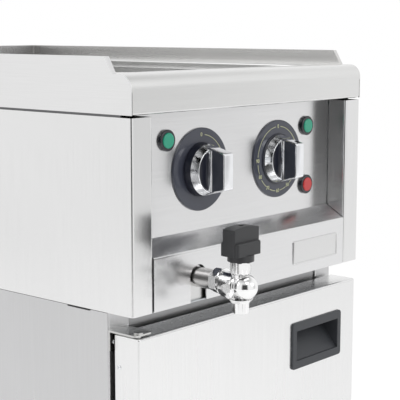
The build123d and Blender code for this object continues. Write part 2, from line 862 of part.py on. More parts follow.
def terminal_block():
    """Mains terminals on the base tray, below the cable entry."""
    x0 = gland_x - terminal_side
    y0 = rear_y - terminal_setback - terminal_width
    z0 = base_z + sheet
    top = z0 + terminal_height
    body = block(x0, x0 + terminal_length, y0, y0 + terminal_width, z0, top)
    for index in range(terminal_ways):
        x = x0 + terminal_length * (index + 0.5) / terminal_ways
        for y in (y0 + terminal_hole_inset, y0 + terminal_width - terminal_hole_inset):
            body -= rod_z(terminal_hole_radius, x, y, top - terminal_hole_depth, top + overcut)
    return body


def cable_gland():
    """Threaded cable entry with its dome nut and inner locknut."""
    inner = rear_y - sheet
    outer = rear_y + gland_reach
    nut_end = rear_y + gland_nut_length
    across = 2 * gland_nut_radius
    thread = rod_y(gland_radius, gland_x, gland_z, inner - gland_thread_inner, nut_end)
    nut = hex_y(across, gland_x, gland_z, rear_y, nut_end)
    dome = rod_y(gland_nut_radius - gland_dome_step, gland_x, gland_z, nut_end, outer)
    dome = fillet(dome.edges().group_by(Axis.Y)[-1], gland_dome_edge)
    locknut = hex_y(across, gland_x, gland_z, inner - gland_locknut, inner)
    bore = rod_y(gland_bore, gland_x, gland_z, inner - gland_thread_inner - overcut, outer + overcut)
    return thread + nut + dome + locknut - bore


def drain_pipe():
    """Pipe from the tank floor, bent forwards and out through the lower panel."""
    inlet_y = face_y + pipe_inlet_setback
    top = tank_floor_z - sheet
    points = [(tap_x, inlet_y, top), (tap_x, inlet_y, tap_z), (tap_x, pipe_front_y, tap_z)]
    path = FilletPolyline(*points, radius=pipe_bend)
    outer = sweep(Pos(*points[0]) * Circle(pipe_radius), path=path)
    inner = sweep(Pos(*points[0]) * Circle(pipe_bore), path=path)
    collar = rod_z(pipe_radius + pipe_collar, tap_x, inlet_y, top - pipe_collar_height, top)
    return outer + collar - inner


def valve_nut():
    """Hexagonal nipple with a thin ring, and a shank that screws into the pipe."""
    nut = hex_y(nut_across_corners, tap_x, tap_z, nut_front_y, pipe_front_y, turn=30)
    blank = rod_y(nut_across_corners / 2, tap_x, tap_z, nut_front_y, pipe_front_y)
    nut = nut & chamfer(blank.edges().filter_by(GeomType.CIRCLE), nut_chamfer)
    ring_front = body_rear_y + nut_groove_width
    nut += rod_y(nut_groove_radius, tap_x, tap_z, body_rear_y, nut_front_y)
    nut += rod_y(nut_ring_radius, tap_x, tap_z, ring_front, ring_front + nut_ring_width)
    shank_end = pipe_front_y + nut_shank
    nut += rod_y(pipe_bore, tap_x, tap_z, pipe_front_y, shank_end)
    return nut - rod_y(nut_bore, tap_x, tap_z, body_rear_y - overcut, shank_end + overcut)


def ball_port(radius):
    """Downward outlet of the tap's ball."""
    return rod_z(radius, tap_x, tap_y, tap_z - 2 * ball_radius, tap_z)


def ball_cavity():
    """Round space that the ball turns in."""
    return Pos(tap_x, tap_y, tap_z) * Sphere(ball_radius + fit_gap)


def barrel_section(radius, sink, y):
    """Round section of the tap's barrel."""
    return Plane(origin=(tap_x, y, tap_z - sink), z_dir=(0, -1, 0)) * Circle(radius)


def valve_barrel():
    """Inlet side of the tap body, with a spanner flat on either side."""
    taper_end = body_rear_y - barrel_taper
    front = body_rear_y - barrel_length
    rear_section = barrel_section(barrel_rear_radius, barrel_rear_sink, body_rear_y)
    front_section = barrel_section(barrel_front_radius, barrel_front_sink, taper_end)
    taper = loft([rear_section, front_section], ruled=True)
    end = rod_y(barrel_front_radius, tap_x, tap_z - barrel_front_sink, front, taper_end)
    end = fillet(end.edges().filter_by(GeomType.CIRCLE).sort_by(Axis.Y)[0], barrel_edge)
    reach = 2 * barrel_front_radius
    flats = block(tap_x - barrel_flat, tap_x + barrel_flat, front - overcut, body_rear_y + overcut,
                  tap_z - reach, tap_z + reach)
    return (taper + end) & flats


def valve_body():
    """Tap body: barrel, ball case, flared spout and stem neck."""
    mouth = tap_z - spout_drop
    root = mouth + spout_length
    case = Pos(tap_x, tap_y - case_offset, tap_z - case_sink) * Sphere(ball_case_radius)
    flare = Cone(spout_root_radius, spout_flare_radius, spout_flare_height)
    flare = Pos(tap_x, tap_y, root + spout_flare_height / 2) * flare
    spout = rod_z(spout_radius, tap_x, tap_y, mouth, root)
    boss = rod_z(boss_radius, tap_x, tap_y, tap_z, tap_z + neck_top - boss_gap)
    neck_end = tap_z + neck_top + neck_engagement
    neck = rod_z(neck_radius, tap_x, tap_y, tap_z, neck_end)
    body = valve_barrel() + case + flare + spout + boss + neck - ball_cavity()
    body -= rod_y(inlet_bore, tap_x, tap_z, tap_y + ball_radius / 2, body_rear_y + overcut)
    body -= rod_z(spout_bore, tap_x, tap_y, mouth - overcut, tap_z)
    return body - rod_z(stem_radius + stem_clearance, tap_x, tap_y, tap_z, neck_end + overcut)


def valve_seat():
    """Soft ring that seals the inlet side of the ball."""
    rear = tap_y + ball_radius + seat_length
    ring = rod_y(inlet_bore, tap_x, tap_z, tap_y + ball_radius / 2, rear)
    return ring - rod_y(ball_bore, tap_x, tap_z, tap_y, rear + overcut) - ball_cavity()


def valve_ball():
    """Ball with a side port; it is shut at rest, so the port faces sideways."""
    ball = Pos(tap_x, tap_y, tap_z) * Sphere(ball_radius)
    socket = rod_z(stem_radius, tap_x, tap_y, tap_z + ball_radius - stem_engagement, tap_z + 2 * ball_radius)
    side = Pos(tap_x + ball_radius, tap_y, tap_z) * Rot(0, 90, 0) * Cylinder(ball_bore, 2 * ball_radius)
    return ball - ball_port(ball_bore) - socket - side


def valve_stem():
    """Spindle from the ball up into the handle."""
    return rod_z(stem_radius, tap_x, tap_y, tap_z + ball_radius - stem_engagement, stem_top())


def valve_gland():
    """Chamfered hexagonal gland nut round the stem."""
    low = tap_z + neck_top
    high = tap_z + gland_top
    radius = gland_across_corners / 2
    nut = extrude(Pos(tap_x, tap_y, low) * RegularPolygon(radius, 6), amount=high - low)
    blank = rod_z(radius, tap_x, tap_y, low, high)
    nut = nut & chamfer(blank.edges().filter_by(GeomType.CIRCLE), gland_chamfer)
    nut -= rod_z(neck_radius, tap_x, tap_y, low - overcut, low + neck_engagement)
    return nut - rod_z(stem_radius + stem_clearance, tap_x, tap_y, low - overcut, high + overcut)


def stem_top():
    """Upper end of the tap's stem."""
    return tap_z + gland_top + stem_reach


def handle_z():
    """Lower face of the tap handle."""
    return tap_z + gland_top + fit_gap


def handle_top():
    """Middle of the tap handle's arched upper edge."""
    return handle_z() + handle_ring_height + handle_block_height + handle_bar_height


def tap_handle():
    """Moulded handle: round collar, block and arched finger bar."""
    z0 = handle_z()
    z1 = z0 + handle_ring_height
    z2 = z1 + handle_block_height
    z3 = handle_top()
    collar = rod_z(handle_ring_radius, tap_x, tap_y, z0, z1)
    lower = rounded_block(handle_block_width, handle_block_depth, handle_block_corner, tap_x, tap_y, z1, z2)
    lower = fillet(lower.edges().group_by(Axis.Z)[-1], handle_block_edge)
    half = handle_bar_width / 2
    end = z3 - handle_bar_arch
    outline = make_face([
        Line((-half, z1), (half, z1)),
        Line((half, z1), (half, end)),
        ThreePointArc((half, end), (0, z3), (-half, end)),
        Line((-half, end), (-half, z1)),
    ])
    rear = Plane(origin=(tap_x, tap_y + handle_bar_depth / 2, 0), x_dir=(1, 0, 0), z_dir=(0, -1, 0))
    bar = extrude(rear * outline, amount=handle_bar_depth)
    bar = fillet(bar.edges().group_by(Axis.Z)[-1] + bar.edges().filter_by(Axis.Z), handle_bar_edge)
    handle = collar + lower + bar
    handle -= rod_z(stem_radius, tap_x, tap_y, z0 - overcut, stem_top())
    return handle - rod_z(handle_screw_radius, tap_x, tap_y, z3 - handle_screw_depth, z3 + overcut)


def handle_screw():
    """Screw sunk in the top of the handle."""
    low = handle_top() - handle_screw_depth
    high = handle_top() - handle_screw_sink
    head = rod_z(handle_screw_radius, tap_x, tap_y, low, high)
    return head - rod_z(handle_screw_socket, tap_x, tap_y, (low + high) / 2, high + overcut)


def cabinet_side():
    """Left side of the cabinet with its front flange, hem and rear flange."""
    half = sheet / 2
    left = half - cabinet_half
    flange = cabinet_flange - half - cabinet_half
    points = [
        (left + cabinet_rear_flange, rear_y - sheet - half),
        (left, rear_y - sheet - half),
        (left, cabinet_y + half),
        (flange, cabinet_y + half),
        (flange, cabinet_y + cabinet_hem),
    ]
    return folded_plan(points, cabinet_bend - half, foot_height, base_z)


def cabinet_back():
    """Rear panel of the cabinet, folded forwards along its top."""
    half = sheet / 2
    points = [
        (rear_y - half, foot_height),
        (rear_y - half, base_z - half),
        (rear_y - back_fold, base_z - half),
    ]
    panel = block(-cabinet_half, cabinet_half, rear_y - sheet, rear_y, foot_height, base_z)
    reach = cabinet_half - cabinet_rear_flange - back_fold_gap
    return panel + folded_side(points, cabinet_bend, -reach, reach)


def cabinet_floor():
    """Cabinet floor tray with a front lip behind the door and turned-down stiffeners."""
    low = foot_height
    level = foot_height + floor_rise
    reach = cabinet_half - sheet
    front = cabinet_y + rail_setback
    hem = cabinet_y + cabinet_hem + floor_gap
    rear = rear_y - 2 * sheet
    inner = cabinet_half - cabinet_flange
    tray = block(-reach, reach, hem, rear, level - sheet, level)
    tray += block(-inner, inner, front, hem + sheet, level - sheet, level)
    tray += block(-inner, inner, front, front + sheet, low, level)
    tray += block(floor_end_gap - reach, reach - floor_end_gap, rear - sheet, rear, low, level)
    for side in (-1, 1):
        edge = side * (reach - sheet / 2)
        tray += block(edge - sheet / 2, edge + sheet / 2, hem, rear - 2 * floor_gap, low, level)
        corner = side * (reach - cabinet_bend / 2)
        half = cabinet_bend / 2 + floor_gap
        tray -= block(corner - half, corner + half,
                      rear - cabinet_bend, rear + overcut, low - overcut, level + overcut)
    return tray


def cabinet_front_rail():
    """Top front rail between the cabinet's front flanges."""
    half = sheet / 2
    front = cabinet_y + rail_setback
    inner = cabinet_half - cabinet_flange
    points = [
        (front + rail_depth, base_z - half),
        (front + half, base_z - half),
        (front + half, base_z - rail_height + half),
        (front + rail_return, base_z - rail_height + half),
    ]
    return folded_side(points, cabinet_bend, -inner, inner)


def door_skin():
    """Outer shell of the door: front face and four edges."""
    shell = block(door_x0, door_x1, door_front_y, door_rear_y, door_z0, door_z1)
    front_edges = shell.edges().group_by(Axis.Y)[0]
    shell = fillet(front_edges + shell.edges().filter_by(Axis.Y), door_edge_radius)
    shell -= block(door_x0 + sheet, door_x1 - sheet, door_front_y + sheet, door_rear_y + overcut,
                   door_z0 + sheet, door_z1 - sheet)
    half_w = pull_opening_width / 2 + pull_wall
    half_h = pull_opening_height / 2 + pull_wall
    shell -= block(pull_x - half_w, pull_x + half_w, door_front_y - overcut, door_front_y + sheet + overcut,
                   pull_z - half_h, pull_z + half_h)
    for z in (door_z0, door_z1):
        shell -= rod_z(bush_radius, hinge_pin_x, hinge_pin_y, z - sheet - overcut, z + sheet + overcut)
    return shell


def door_liner():
    """Inner panel of the door, a shallow tray set into the outer shell."""
    x0 = door_x0 + sheet
    x1 = door_x1 - sheet
    z0 = door_z0 + sheet
    z1 = door_z1 - sheet
    front = door_rear_y - liner_depth
    liner = block(x0, x1, front, door_rear_y, z0, z1)
    liner = fillet(liner.edges().filter_by(Axis.Y), liner_corner)
    return liner - block(x0 + sheet, x1 - sheet, front - overcut, door_rear_y - sheet, z0 + sheet, z1 - sheet)


def door_pull():
    """Recessed pull: flange, pocket with an upright back and a floor that slopes out."""
    front = door_front_y - pull_flange
    place = Pos(pull_x, door_front_y, pull_z) * Rot(90, 0, 0)
    flange = extrude(place * RectangleRounded(pull_width, pull_height, pull_corner), amount=pull_flange)
    flange = fillet(flange.edges().group_by(Axis.Y)[0], pull_edge)
    half_w = pull_opening_width / 2
    low = pull_z - pull_opening_height / 2
    high = pull_z + pull_opening_height / 2
    deep = door_front_y + pull_depth
    body = side_section(
        [(door_front_y, low - pull_wall), (door_front_y, high + pull_wall),
         (deep + pull_wall, high + pull_wall), (deep + pull_wall, high - pull_wall_height - pull_wall)],
        pull_x - half_w - pull_wall, pull_x + half_w + pull_wall)
    pocket = side_section(
        [(front - overcut, low), (front - overcut, high), (deep, high), (deep, high - pull_wall_height),
         (door_front_y, low)],
        pull_x - half_w, pull_x + half_w)
    return flange + body - pocket


def hinge_plate_z(top):
    """Lower and upper face of a hinge plate, above or below the door."""
    if top:
        return door_z1 + hinge_gap, door_z1 + hinge_gap + hinge_sheet
    return door_z0 - hinge_gap - hinge_sheet, door_z0 - hinge_gap


def hinge_brackets():
    """Angle plates on the cabinet's left flange that hold the hinge pins."""
    x0 = cabinet_inset - half_width
    x1 = x0 + hinge_plate_width
    plates = []
    for top in (True, False):
        z0, z1 = hinge_plate_z(top)
        plate = block(x0, x1, door_front_y + hinge_plate_setback, cabinet_y, z0, z1)
        corners = plate.edges().filter_by(Axis.Z).group_by(Axis.Y)[0]
        plate = fillet(corners, hinge_corner)
        leg_z = (z1 - hinge_leg, z1) if top else (z0, z0 + hinge_leg)
        leg = block(x0, x1, cabinet_y - hinge_sheet, cabinet_y, *leg_z)
        hole = rod_z(hinge_pin_radius, hinge_pin_x, hinge_pin_y, z0 - overcut, z1 + overcut)
        plates.append(plate + leg - hole)
    return plates


def hinge_pins():
    """Headed pins that run from the plates into the door."""
    pins = []
    for top in (True, False):
        z0, z1 = hinge_plate_z(top)
        if top:
            pin = rod_z(hinge_pin_radius, hinge_pin_x, hinge_pin_y, door_z1 - hinge_pin_depth, z1)
            head = rod_z(hinge_head_radius, hinge_pin_x, hinge_pin_y, z1, z1 + hinge_head_height)
        else:
            pin = rod_z(hinge_pin_radius, hinge_pin_x, hinge_pin_y, z0, door_z0 + hinge_pin_depth)
            head = rod_z(hinge_head_radius, hinge_pin_x, hinge_pin_y, z0 - hinge_head_height, z0)
        pins.append(pin + head)
    return pins


def hinge_bushes():
    """Plain bushes in the door's top and bottom edges."""
    length = hinge_pin_depth + bush_end
    bore_radius = hinge_pin_radius + hinge_pin_clearance
    bushes = []
    for z0, z1 in ((door_z1 - length, door_z1), (door_z0, door_z0 + length)):
        bush = rod_z(bush_radius, hinge_pin_x, hinge_pin_y, z0, z1)
        bore = rod_z(bore_radius, hinge_pin_x, hinge_pin_y, z0 - overcut, z1 + overcut)
        bushes.append(bush - bore)
    return bushes


def catch_place():
    """Left edge and lower edge of the magnetic catch."""
    x0 = cabinet_half - cabinet_flange + (cabinet_flange - catch_width) / 2
    return x0, door_z1 - catch_drop - catch_length


def magnet_catch():
    """Magnet in its case on the cabinet's right flange."""
    x0, z0 = catch_place()
    front = door_rear_y + strike_thickness + fit_gap
    case = block(x0, x0 + catch_width, front, cabinet_y, z0, z0 + catch_length)
    return fillet(case.edges().filter_by(Axis.Y), catch_corner)


def catch_strike():
    """Steel plate on the inside of the door that meets the magnet."""
    x0, z0 = catch_place()
    return block(x0 - strike_margin, x0 + catch_width + strike_margin,
                 door_rear_y, door_rear_y + strike_thickness,
                 z0 - strike_margin, z0 + catch_length + strike_margin)


def door_bumpers():
    """Rubber pads on the right flange that the door closes against."""
    x = cabinet_half - cabinet_flange / 2
    places = (door_z1 - bumper_drop, door_z0 + bumper_lift)
    return [rod_y(bumper_radius, x, z, cabinet_y - bumper_thickness, cabinet_y) for z in places]


def foot_places():
    """Plan positions of the four feet."""
    xs = (foot_inset - cabinet_half, cabinet_half - foot_inset)
    ys = (cabinet_y + foot_inset, rear_y - foot_inset)
    return [(x, y) for x in xs for y in ys]


def leg_sleeves():
    """Threaded sleeves under the cabinet floor, each with its fixing plate."""
    sleeves = []
    top = foot_height + floor_rise - sheet
    plate_low = top - foot_plate_thickness
    low = foot_height - sleeve_length
    half = foot_plate / 2
    for x, y in foot_places():
        plate = block(x - half, x + half, y - half, y + half, plate_low, top)
        sleeve = plate + rod_z(sleeve_radius, x, y, low, top)
        sleeves.append(sleeve - rod_z(sleeve_bore, x, y, low - overcut, plate_low))
    return sleeves


def leg_feet():
    """Adjustable feet screwed up into the sleeves."""
    feet = []
    for x, y in foot_places():
        stem = rod_z(sleeve_bore, x, y, foot_pad_height, foot_height - foot_thread_gap)
        pad = rod_z(foot_pad_radius, x, y, 0, foot_pad_height)
        pad = fillet(pad.edges().group_by(Axis.Z)[0] + pad.edges().group_by(Axis.Z)[-1], foot_pad_edge)
        feet.append(stem + pad)
    return feet


def rear_screws():
    """Dome-head screws that hold the two rear panels."""
    xs = (screw_inset - half_width, 0.0, half_width - screw_inset)
    zs = (side_top_z - screw_inset, base_z + screw_inset)
    cabinet_xs = (screw_inset - cabinet_half, cabinet_half - screw_inset)
    cabinet_zs = (base_z - cabinet_screw_inset, (base_z + foot_height) / 2, foot_height + cabinet_screw_inset)
    places = [(x, z) for x in xs for z in zs]
    places += [(x, z) for x in cabinet_xs for z in cabinet_zs]
    screws = []
    for x, z in places:
        head = rod_y(screw_radius, x, z, rear_y, rear_y + screw_head)
        screws.append(fillet(head.edges().group_by(Axis.Y)[-1], screw_edge))
    return screws


def pilot_bezels():
    """Black lamp holders: a flange in front of the panel and a body behind it."""
    bezels = []
    front = panel_y - pilot_bezel_reach
    for x, z in pilot_places():
        flange = rod_y(pilot_bezel_radius, x, z, front, panel_y)
        flange = fillet(flange.edges().group_by(Axis.Y)[0], pilot_bezel_edge)
        bezel = flange + rod_y(pilot_body_radius, x, z, panel_y, panel_y + pilot_body_length)
        bezels.append(bezel - rod_y(pilot_lens_radius, x, z, front - overcut, front + pilot_seat))
    return bezels


def pilot_lenses(places):
    """Domed lenses seated in the lamp holders."""
    lenses = []
    front = panel_y - pilot_bezel_reach
    for x, z in places:
        lens = rod_y(pilot_lens_radius, x, z, front - pilot_lens_reach, front + pilot_seat)
        lenses.append(fillet(lens.edges().group_by(Axis.Y)[0], pilot_lens_edge))
    return lenses


def build():
    """All sub-parts by name."""
    left_plate = end_plate()
    left_panel = side_panel()
    left_cabinet = cabinet_side()
    return {
        "worktop": worktop(),
        "end_plate_left": left_plate,
        "end_plate_right": mirrored(left_plate),
        "rear_upstand": rear_upstand(),
        "deck_rails": deck_rails(),
        "well_tank": well_tank(),
        "false_bottom": false_bottom(),
        "side_panel_left": left_panel,
        "side_panel_right": mirrored(left_panel),
        "control_fascia": control_fascia(),
        "fascia_brackets": fascia_brackets(),
        "back_panel": back_panel(),
        "base_tray": base_tray(),
        "slot_patch": slot_patch(),
        "nameplate": nameplate(),
        "switch_dial": dial_plate(switch_x),
        "thermostat_dial": dial_plate(thermostat_x),
        "pilot_bezels": pilot_bezels(),
        "pilot_lenses_green": pilot_lenses(pilot_places()[:2]),
        "pilot_lens_red": pilot_lenses(pilot_places()[2:]),
        "switch_knob": knob_shell(switch_x, switch_knob_base),
        "switch_knob_inserts": knob_inserts(switch_x, switch_knob_base),
        "switch_shaft": control_shaft(switch_x, switch_knob_base),
        "switch_body": control_body(switch_x, switch_width, switch_height),
        "thermostat_knob": knob_shell(thermostat_x, thermostat_knob_base),
        "thermostat_knob_inserts": knob_inserts(thermostat_x, thermostat_knob_base),
        "thermostat_shaft": control_shaft(thermostat_x, thermostat_knob_base),
        "thermostat_body": control_body(thermostat_x, thermostat_width, thermostat_height),
        "thermostat_capillary": capillary(),
        "heating_element": heating_element(),
        "limiter_body": limiter_body(),
        "reset_button": reset_button(),
        "terminal_block": terminal_block(),
        "cable_gland": cable_gland(),
        "drain_pipe": drain_pipe(),
        "valve_nut": valve_nut(),
        "valve_body": valve_body(),
        "valve_seat": valve_seat(),
        "valve_ball": valve_ball(),
        "valve_stem": valve_stem(),
        "valve_gland": valve_gland(),
        "tap_handle": tap_handle(),
        "handle_screw": handle_screw(),
        "cabinet_side_left": left_cabinet,
        "cabinet_side_right": mirrored(left_cabinet),
        "cabinet_back": cabinet_back(),
        "cabinet_floor": cabinet_floor(),
        "cabinet_front_rail": cabinet_front_rail(),
        "door_skin": door_skin(),
        "door_liner": door_liner(),
        "door_pull": door_pull(),
        "hinge_brackets": hinge_brackets(),
        "hinge_pins": hinge_pins(),
        "hinge_bushes": hinge_bushes(),
        "magnet_catch": magnet_catch(),
        "catch_strike": catch_strike(),
        "door_bumpers": door_bumpers(),
        "leg_sleeves": leg_sleeves(),
        "leg_feet": leg_feet(),
        "rear_screws": rear_screws(),
    }


def write(parts):
    """Write each sub-part to its own file."""
    os.makedirs("parts", exist_ok=True)
    for name, shape in parts.items():
        solids = []
        for piece in shape if isinstance(shape, list) else [shape]:
            solids.extend(piece.solids())
        body = solids[0] if len(solids) == 1 else Compound(children=solids)
        export_step(body, f"parts/{name}.step")


if __name__ == "__main__":
    write(build())
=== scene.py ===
"""Looks of a floor-standing bain marie, built round its packed construction model.

The construction model gives every piece its place. This script adds the finishes, the printed
dial scales, the plated knobs with a painted reflection of the dial on each bar side, the rimmed
plate, the gland nut, the small fixings, dark strips of painted shade along the cabinet's top
edges and dark lines beside the apron, then the camera, the soft studio light and a plain pale
floor.
"""
from __future__ import annotations

import logging
import math
from dataclasses import dataclass
from enum import Enum, IntEnum
from typing import Any, Callable, Iterable, Sequence

import bmesh
import bpy
from bmesh.types import BMesh
from bpy.types import Material, Node, NodeSocket, NodeTree, Object
from mathutils import Matrix, Vector

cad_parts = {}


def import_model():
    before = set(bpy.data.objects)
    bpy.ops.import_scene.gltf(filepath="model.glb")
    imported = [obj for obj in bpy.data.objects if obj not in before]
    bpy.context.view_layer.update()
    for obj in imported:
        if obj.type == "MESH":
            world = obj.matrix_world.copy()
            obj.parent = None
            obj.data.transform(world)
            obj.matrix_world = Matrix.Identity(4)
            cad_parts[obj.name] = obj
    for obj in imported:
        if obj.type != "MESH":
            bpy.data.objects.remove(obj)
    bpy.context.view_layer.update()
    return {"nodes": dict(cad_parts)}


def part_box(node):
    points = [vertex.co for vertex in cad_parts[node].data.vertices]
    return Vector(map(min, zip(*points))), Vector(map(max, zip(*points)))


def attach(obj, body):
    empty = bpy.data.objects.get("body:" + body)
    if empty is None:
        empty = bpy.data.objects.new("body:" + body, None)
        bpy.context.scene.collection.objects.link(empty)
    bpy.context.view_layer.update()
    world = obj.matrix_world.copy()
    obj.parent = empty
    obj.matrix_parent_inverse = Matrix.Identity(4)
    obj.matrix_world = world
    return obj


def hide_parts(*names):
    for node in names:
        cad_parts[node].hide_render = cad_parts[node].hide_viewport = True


LOG = logging.getLogger("bain_marie")
MM = 0.001
QUARTER = 90.0  # A quarter turn in degrees.
WELD_DISTANCE = 1e-7
FINE_TEXTURE = 0.01 * MM
WHITE = (1.0, 1.0, 1.0, 1.0)

Pair = tuple[float, float]
Point = tuple[float, float, float]
Colour = tuple[float, float, float]


class Body(Enum):
    """Rigid bodies that carry the pieces made here."""

    CASING = "root"
    SWITCH = "switch_control"
    THERMOSTAT = "thermostat_control"
    DOOR = "door"
    PLATE = "lift_out_plate"


class Grain(Enum):
    """Direction in which a sheet was brushed, as a stretch of its pattern."""

    ACROSS = (1.0, 60.0, 60.0)
    DEEP = (60.0, 1.0, 60.0)
    UPRIGHT = (60.0, 60.0, 1.0)
    NONE = (8.0, 8.0, 8.0)


class Lay(Enum):
    """Axis along which a slab's depth runs, as the order of outline u, outline v and depth."""

    X = (2, 0, 1)
    Y = (0, 2, 1)
    Z = (0, 1, 2)


class Plane(IntEnum):
    """Front or rear plane of a node's box."""

    FRONT = 0
    REAR = 1


class Side(IntEnum):
    """Side of the object, as the sign of X."""

    LEFT = -1
    RIGHT = 1


class Graph:
    """Short hand for adding nodes and links to one node tree."""

    def __init__(self, tree: NodeTree) -> None:
        """Keeps the tree that the nodes go into."""
        self.tree = tree

    def fill(self, node: Node, inputs: dict[str | int, Any]) -> Node:
        """Sets or links inputs of a node.

        Args:
            node: Node to fill.
            inputs: Socket name or number to a value or an output socket.

        Returns:
            The same node.
        """
        for name, value in inputs.items():
            if isinstance(value, NodeSocket):
                self.tree.links.new(value, node.inputs[name])
            else:
                node.inputs[name].default_value = value
        return node

    def add(self, kind: str, inputs: dict[str | int, Any] | None = None, **settings: Any) -> Node:
        """Adds a node, sets its attributes and fills its inputs.

        Args:
            kind: Node type name.
            inputs: Socket name or number to a value or an output socket.
            **settings: Attributes of the node.

        Returns:
            The new node.
        """
        node = self.tree.nodes.new(kind)
        for name, value in settings.items():
            setattr(node, name, value)
        return self.fill(node, inputs or {})

    def ramp(self, value: NodeSocket, low: float, high: float) -> NodeSocket:
        """Maps a 0 to 1 value on to a range."""
        inputs = {"Value": value, "To Min": low, "To Max": high}
        return self.add("ShaderNodeMapRange", inputs).outputs["Result"]

    def math(self, operation: str, first: Any, second: Any = 0.0) -> NodeSocket:
        """Combines two values or sockets."""
        return self.add("ShaderNodeMath", {0: first, 1: second}, operation=operation).outputs[0]

    def combine(self, operation: str, first: Any, second: Any, result: int | str = 0) -> NodeSocket:
        """Combines two vectors or vector sockets."""
        inputs = {0: first, 1: second}
        return self.add("ShaderNodeVectorMath", inputs, operation=operation).outputs[result]

    def mix(self, share: Any, first: Any, second: Any, **settings: Any) -> NodeSocket:
        """Mixes two colours or colour sockets."""
        inputs = {0: share, 6: first, 7: second}
        return self.add("ShaderNodeMix", inputs, data_type="RGBA", **settings).outputs[2]

    def blend(self, share: Any, first: Any, second: Any) -> NodeSocket:
        """Mixes two numbers or number sockets."""
        inputs = {0: share, 2: first, 3: second}
        return self.add("ShaderNodeMix", inputs, data_type="FLOAT").outputs[0]

    def noise(self, place: NodeSocket, scale: Any, detail: float, **more: float) -> NodeSocket:
        """Noise over a place, with any further inputs by name."""
        inputs = {"Vector": place, "Scale": scale, "Detail": detail, **more}
        return self.add("ShaderNodeTexNoise", inputs).outputs["Fac"]


def new_tree(kind: str, name: str, inputs: dict[str, str],
             outputs: dict[str, str]) -> tuple[Graph, Any, Node]:
    """Starts a node group with its sockets.

    Args:
        kind: Type name of the tree.
        name: Name of the tree.
        inputs: Name to socket kind of each input.
        outputs: Name to socket kind of each output.

    Returns:
        The graph, the sockets of its inputs by name, and its output node.
    """
    tree = bpy.data.node_groups.new(name, kind)
    for way, sockets in (("INPUT", inputs), ("OUTPUT", outputs)):
        for label, holds in sockets.items():
            tree.interface.new_socket(label, in_out=way, socket_type="NodeSocket" + holds)
    graph = Graph(tree)
    return graph, graph.add("NodeGroupInput").outputs, graph.add("NodeGroupOutput")


@dataclass
class SurfaceGroups:
    """Shader node groups that several finishes share."""

    streak_detail: float = 4.0
    streak_roughness: float = 0.65
    scratch_share: float = 0.23
    scratch_detail: float = 2.0
    cloud_detail: float = 3.0
    swirl: float = 0.6
    bevel_samples: int = 6
    worn_from: float = 0.005
    worn_to: float = 0.2

    def __post_init__(self) -> None:
        """Builds each group once."""
        self.grain = self._grain()
        self.clouds = self._clouds()
        self.bends = self._bends()

    def _grain(self) -> NodeTree:
        """Fine brushed streaks, with a broken second layer.

        Returns:
            The group.
        """
        graph, source, result = new_tree(
            "ShaderNodeTree", "brushed_grain",
            {"Vector": "Vector", "Stretch": "Vector", "Density": "Float"},
            {"Streak": "Float", "Scratch": "Float"})
        drawn = graph.combine("MULTIPLY", source["Vector"], source["Stretch"])
        broad = graph.math("MULTIPLY", source["Density"], self.scratch_share)
        graph.fill(result, {
            "Streak": graph.noise(drawn, source["Density"], self.streak_detail,
                                  Roughness=self.streak_roughness),
            "Scratch": graph.noise(drawn, broad, self.scratch_detail)})
        return graph.tree

    def _clouds(self) -> NodeTree:
        """Broad, soft variation such as handling marks and uneven polish.

        Returns:
            The group.
        """
        graph, source, result = new_tree(
            "ShaderNodeTree", "soft_clouds",
            {"Vector": "Vector", "Scale": "Float", "Contrast": "Float"}, {"Cloud": "Float"})
        noise = graph.noise(source["Vector"], source["Scale"], self.cloud_detail,
                            Distortion=self.swirl)
        centred = graph.math("SUBTRACT", noise, 0.5)
        scaled = graph.math("MULTIPLY", centred, source["Contrast"])
        graph.fill(result, {"Cloud": graph.math("ADD", scaled, 0.5)})
        return graph.tree

    def _bends(self) -> NodeTree:
        """Softened edges: a rounded normal and a mask that is 1 on worn corners.

        Returns:
            The group.
        """
        graph, source, result = new_tree(
            "ShaderNodeTree", "soft_edges", {"Radius": "Float"},
            {"Normal": "Vector", "Edge": "Float"})
        bevel = graph.add("ShaderNodeBevel", {"Radius": source["Radius"]},
                          samples=self.bevel_samples)
        flat = graph.add("ShaderNodeNewGeometry").outputs["Normal"]
        dot = graph.combine("DOT_PRODUCT", bevel.outputs["Normal"], flat, "Value")
        edge = graph.add("ShaderNodeMapRange", {
            "Value": graph.math("SUBTRACT", 1.0, dot), "From Min": self.worn_from,
            "From Max": self.worn_to})
        graph.fill(result, {"Normal": bevel.outputs["Normal"], "Edge": edge.outputs["Result"]})
        return graph.tree


def new_material(name: str) -> tuple[Material, Graph, Node]:
    """Starts a material with an empty Principled surface.

    Args:
        name: Name of the material.

    Returns:
        The material, its graph and its Principled node.
    """
    material = bpy.data.materials.new(name)
    material.use_nodes = True
    material.node_tree.nodes.clear()
    graph = Graph(material.node_tree)
    surface = graph.add("ShaderNodeBsdfPrincipled")
    graph.add("ShaderNodeOutputMaterial", {"Surface": surface.outputs["BSDF"]})
    return material, graph, surface


@dataclass(frozen=True)
class Finish:
    """What all finishes share: a name, a tone and soft clouds of use."""

    name: str
    tone: Colour

    def start(self, groups: SurfaceGroups, scale: float,
              contrast: float) -> tuple[Material, Graph, Node, NodeSocket, NodeSocket]:
        """Starts the material with its clouds.

        Args:
            groups: Shared node groups.
            scale: Scale of the clouds.
            contrast: Contrast of the clouds.

        Returns:
            The material, its graph, its surface, the place on the object and the clouds.
        """
        material, graph, surface = new_material(self.name)
        place = graph.add("ShaderNodeTexCoord").outputs["Object"]
        cloud = graph.add("ShaderNodeGroup", {"Vector": place, "Scale": scale,
                                              "Contrast": contrast}, node_tree=groups.clouds)
        return material, graph, surface, place, cloud.outputs["Cloud"]

    def shaded(self, graph: Graph, cloud: NodeSocket, shade: float) -> NodeSocket:
        """The tone, drawn towards a darker one where the clouds are low."""
        dark = tuple(part * shade for part in self.tone)
        return graph.mix(cloud, (*dark, 1.0), (*self.tone, 1.0))


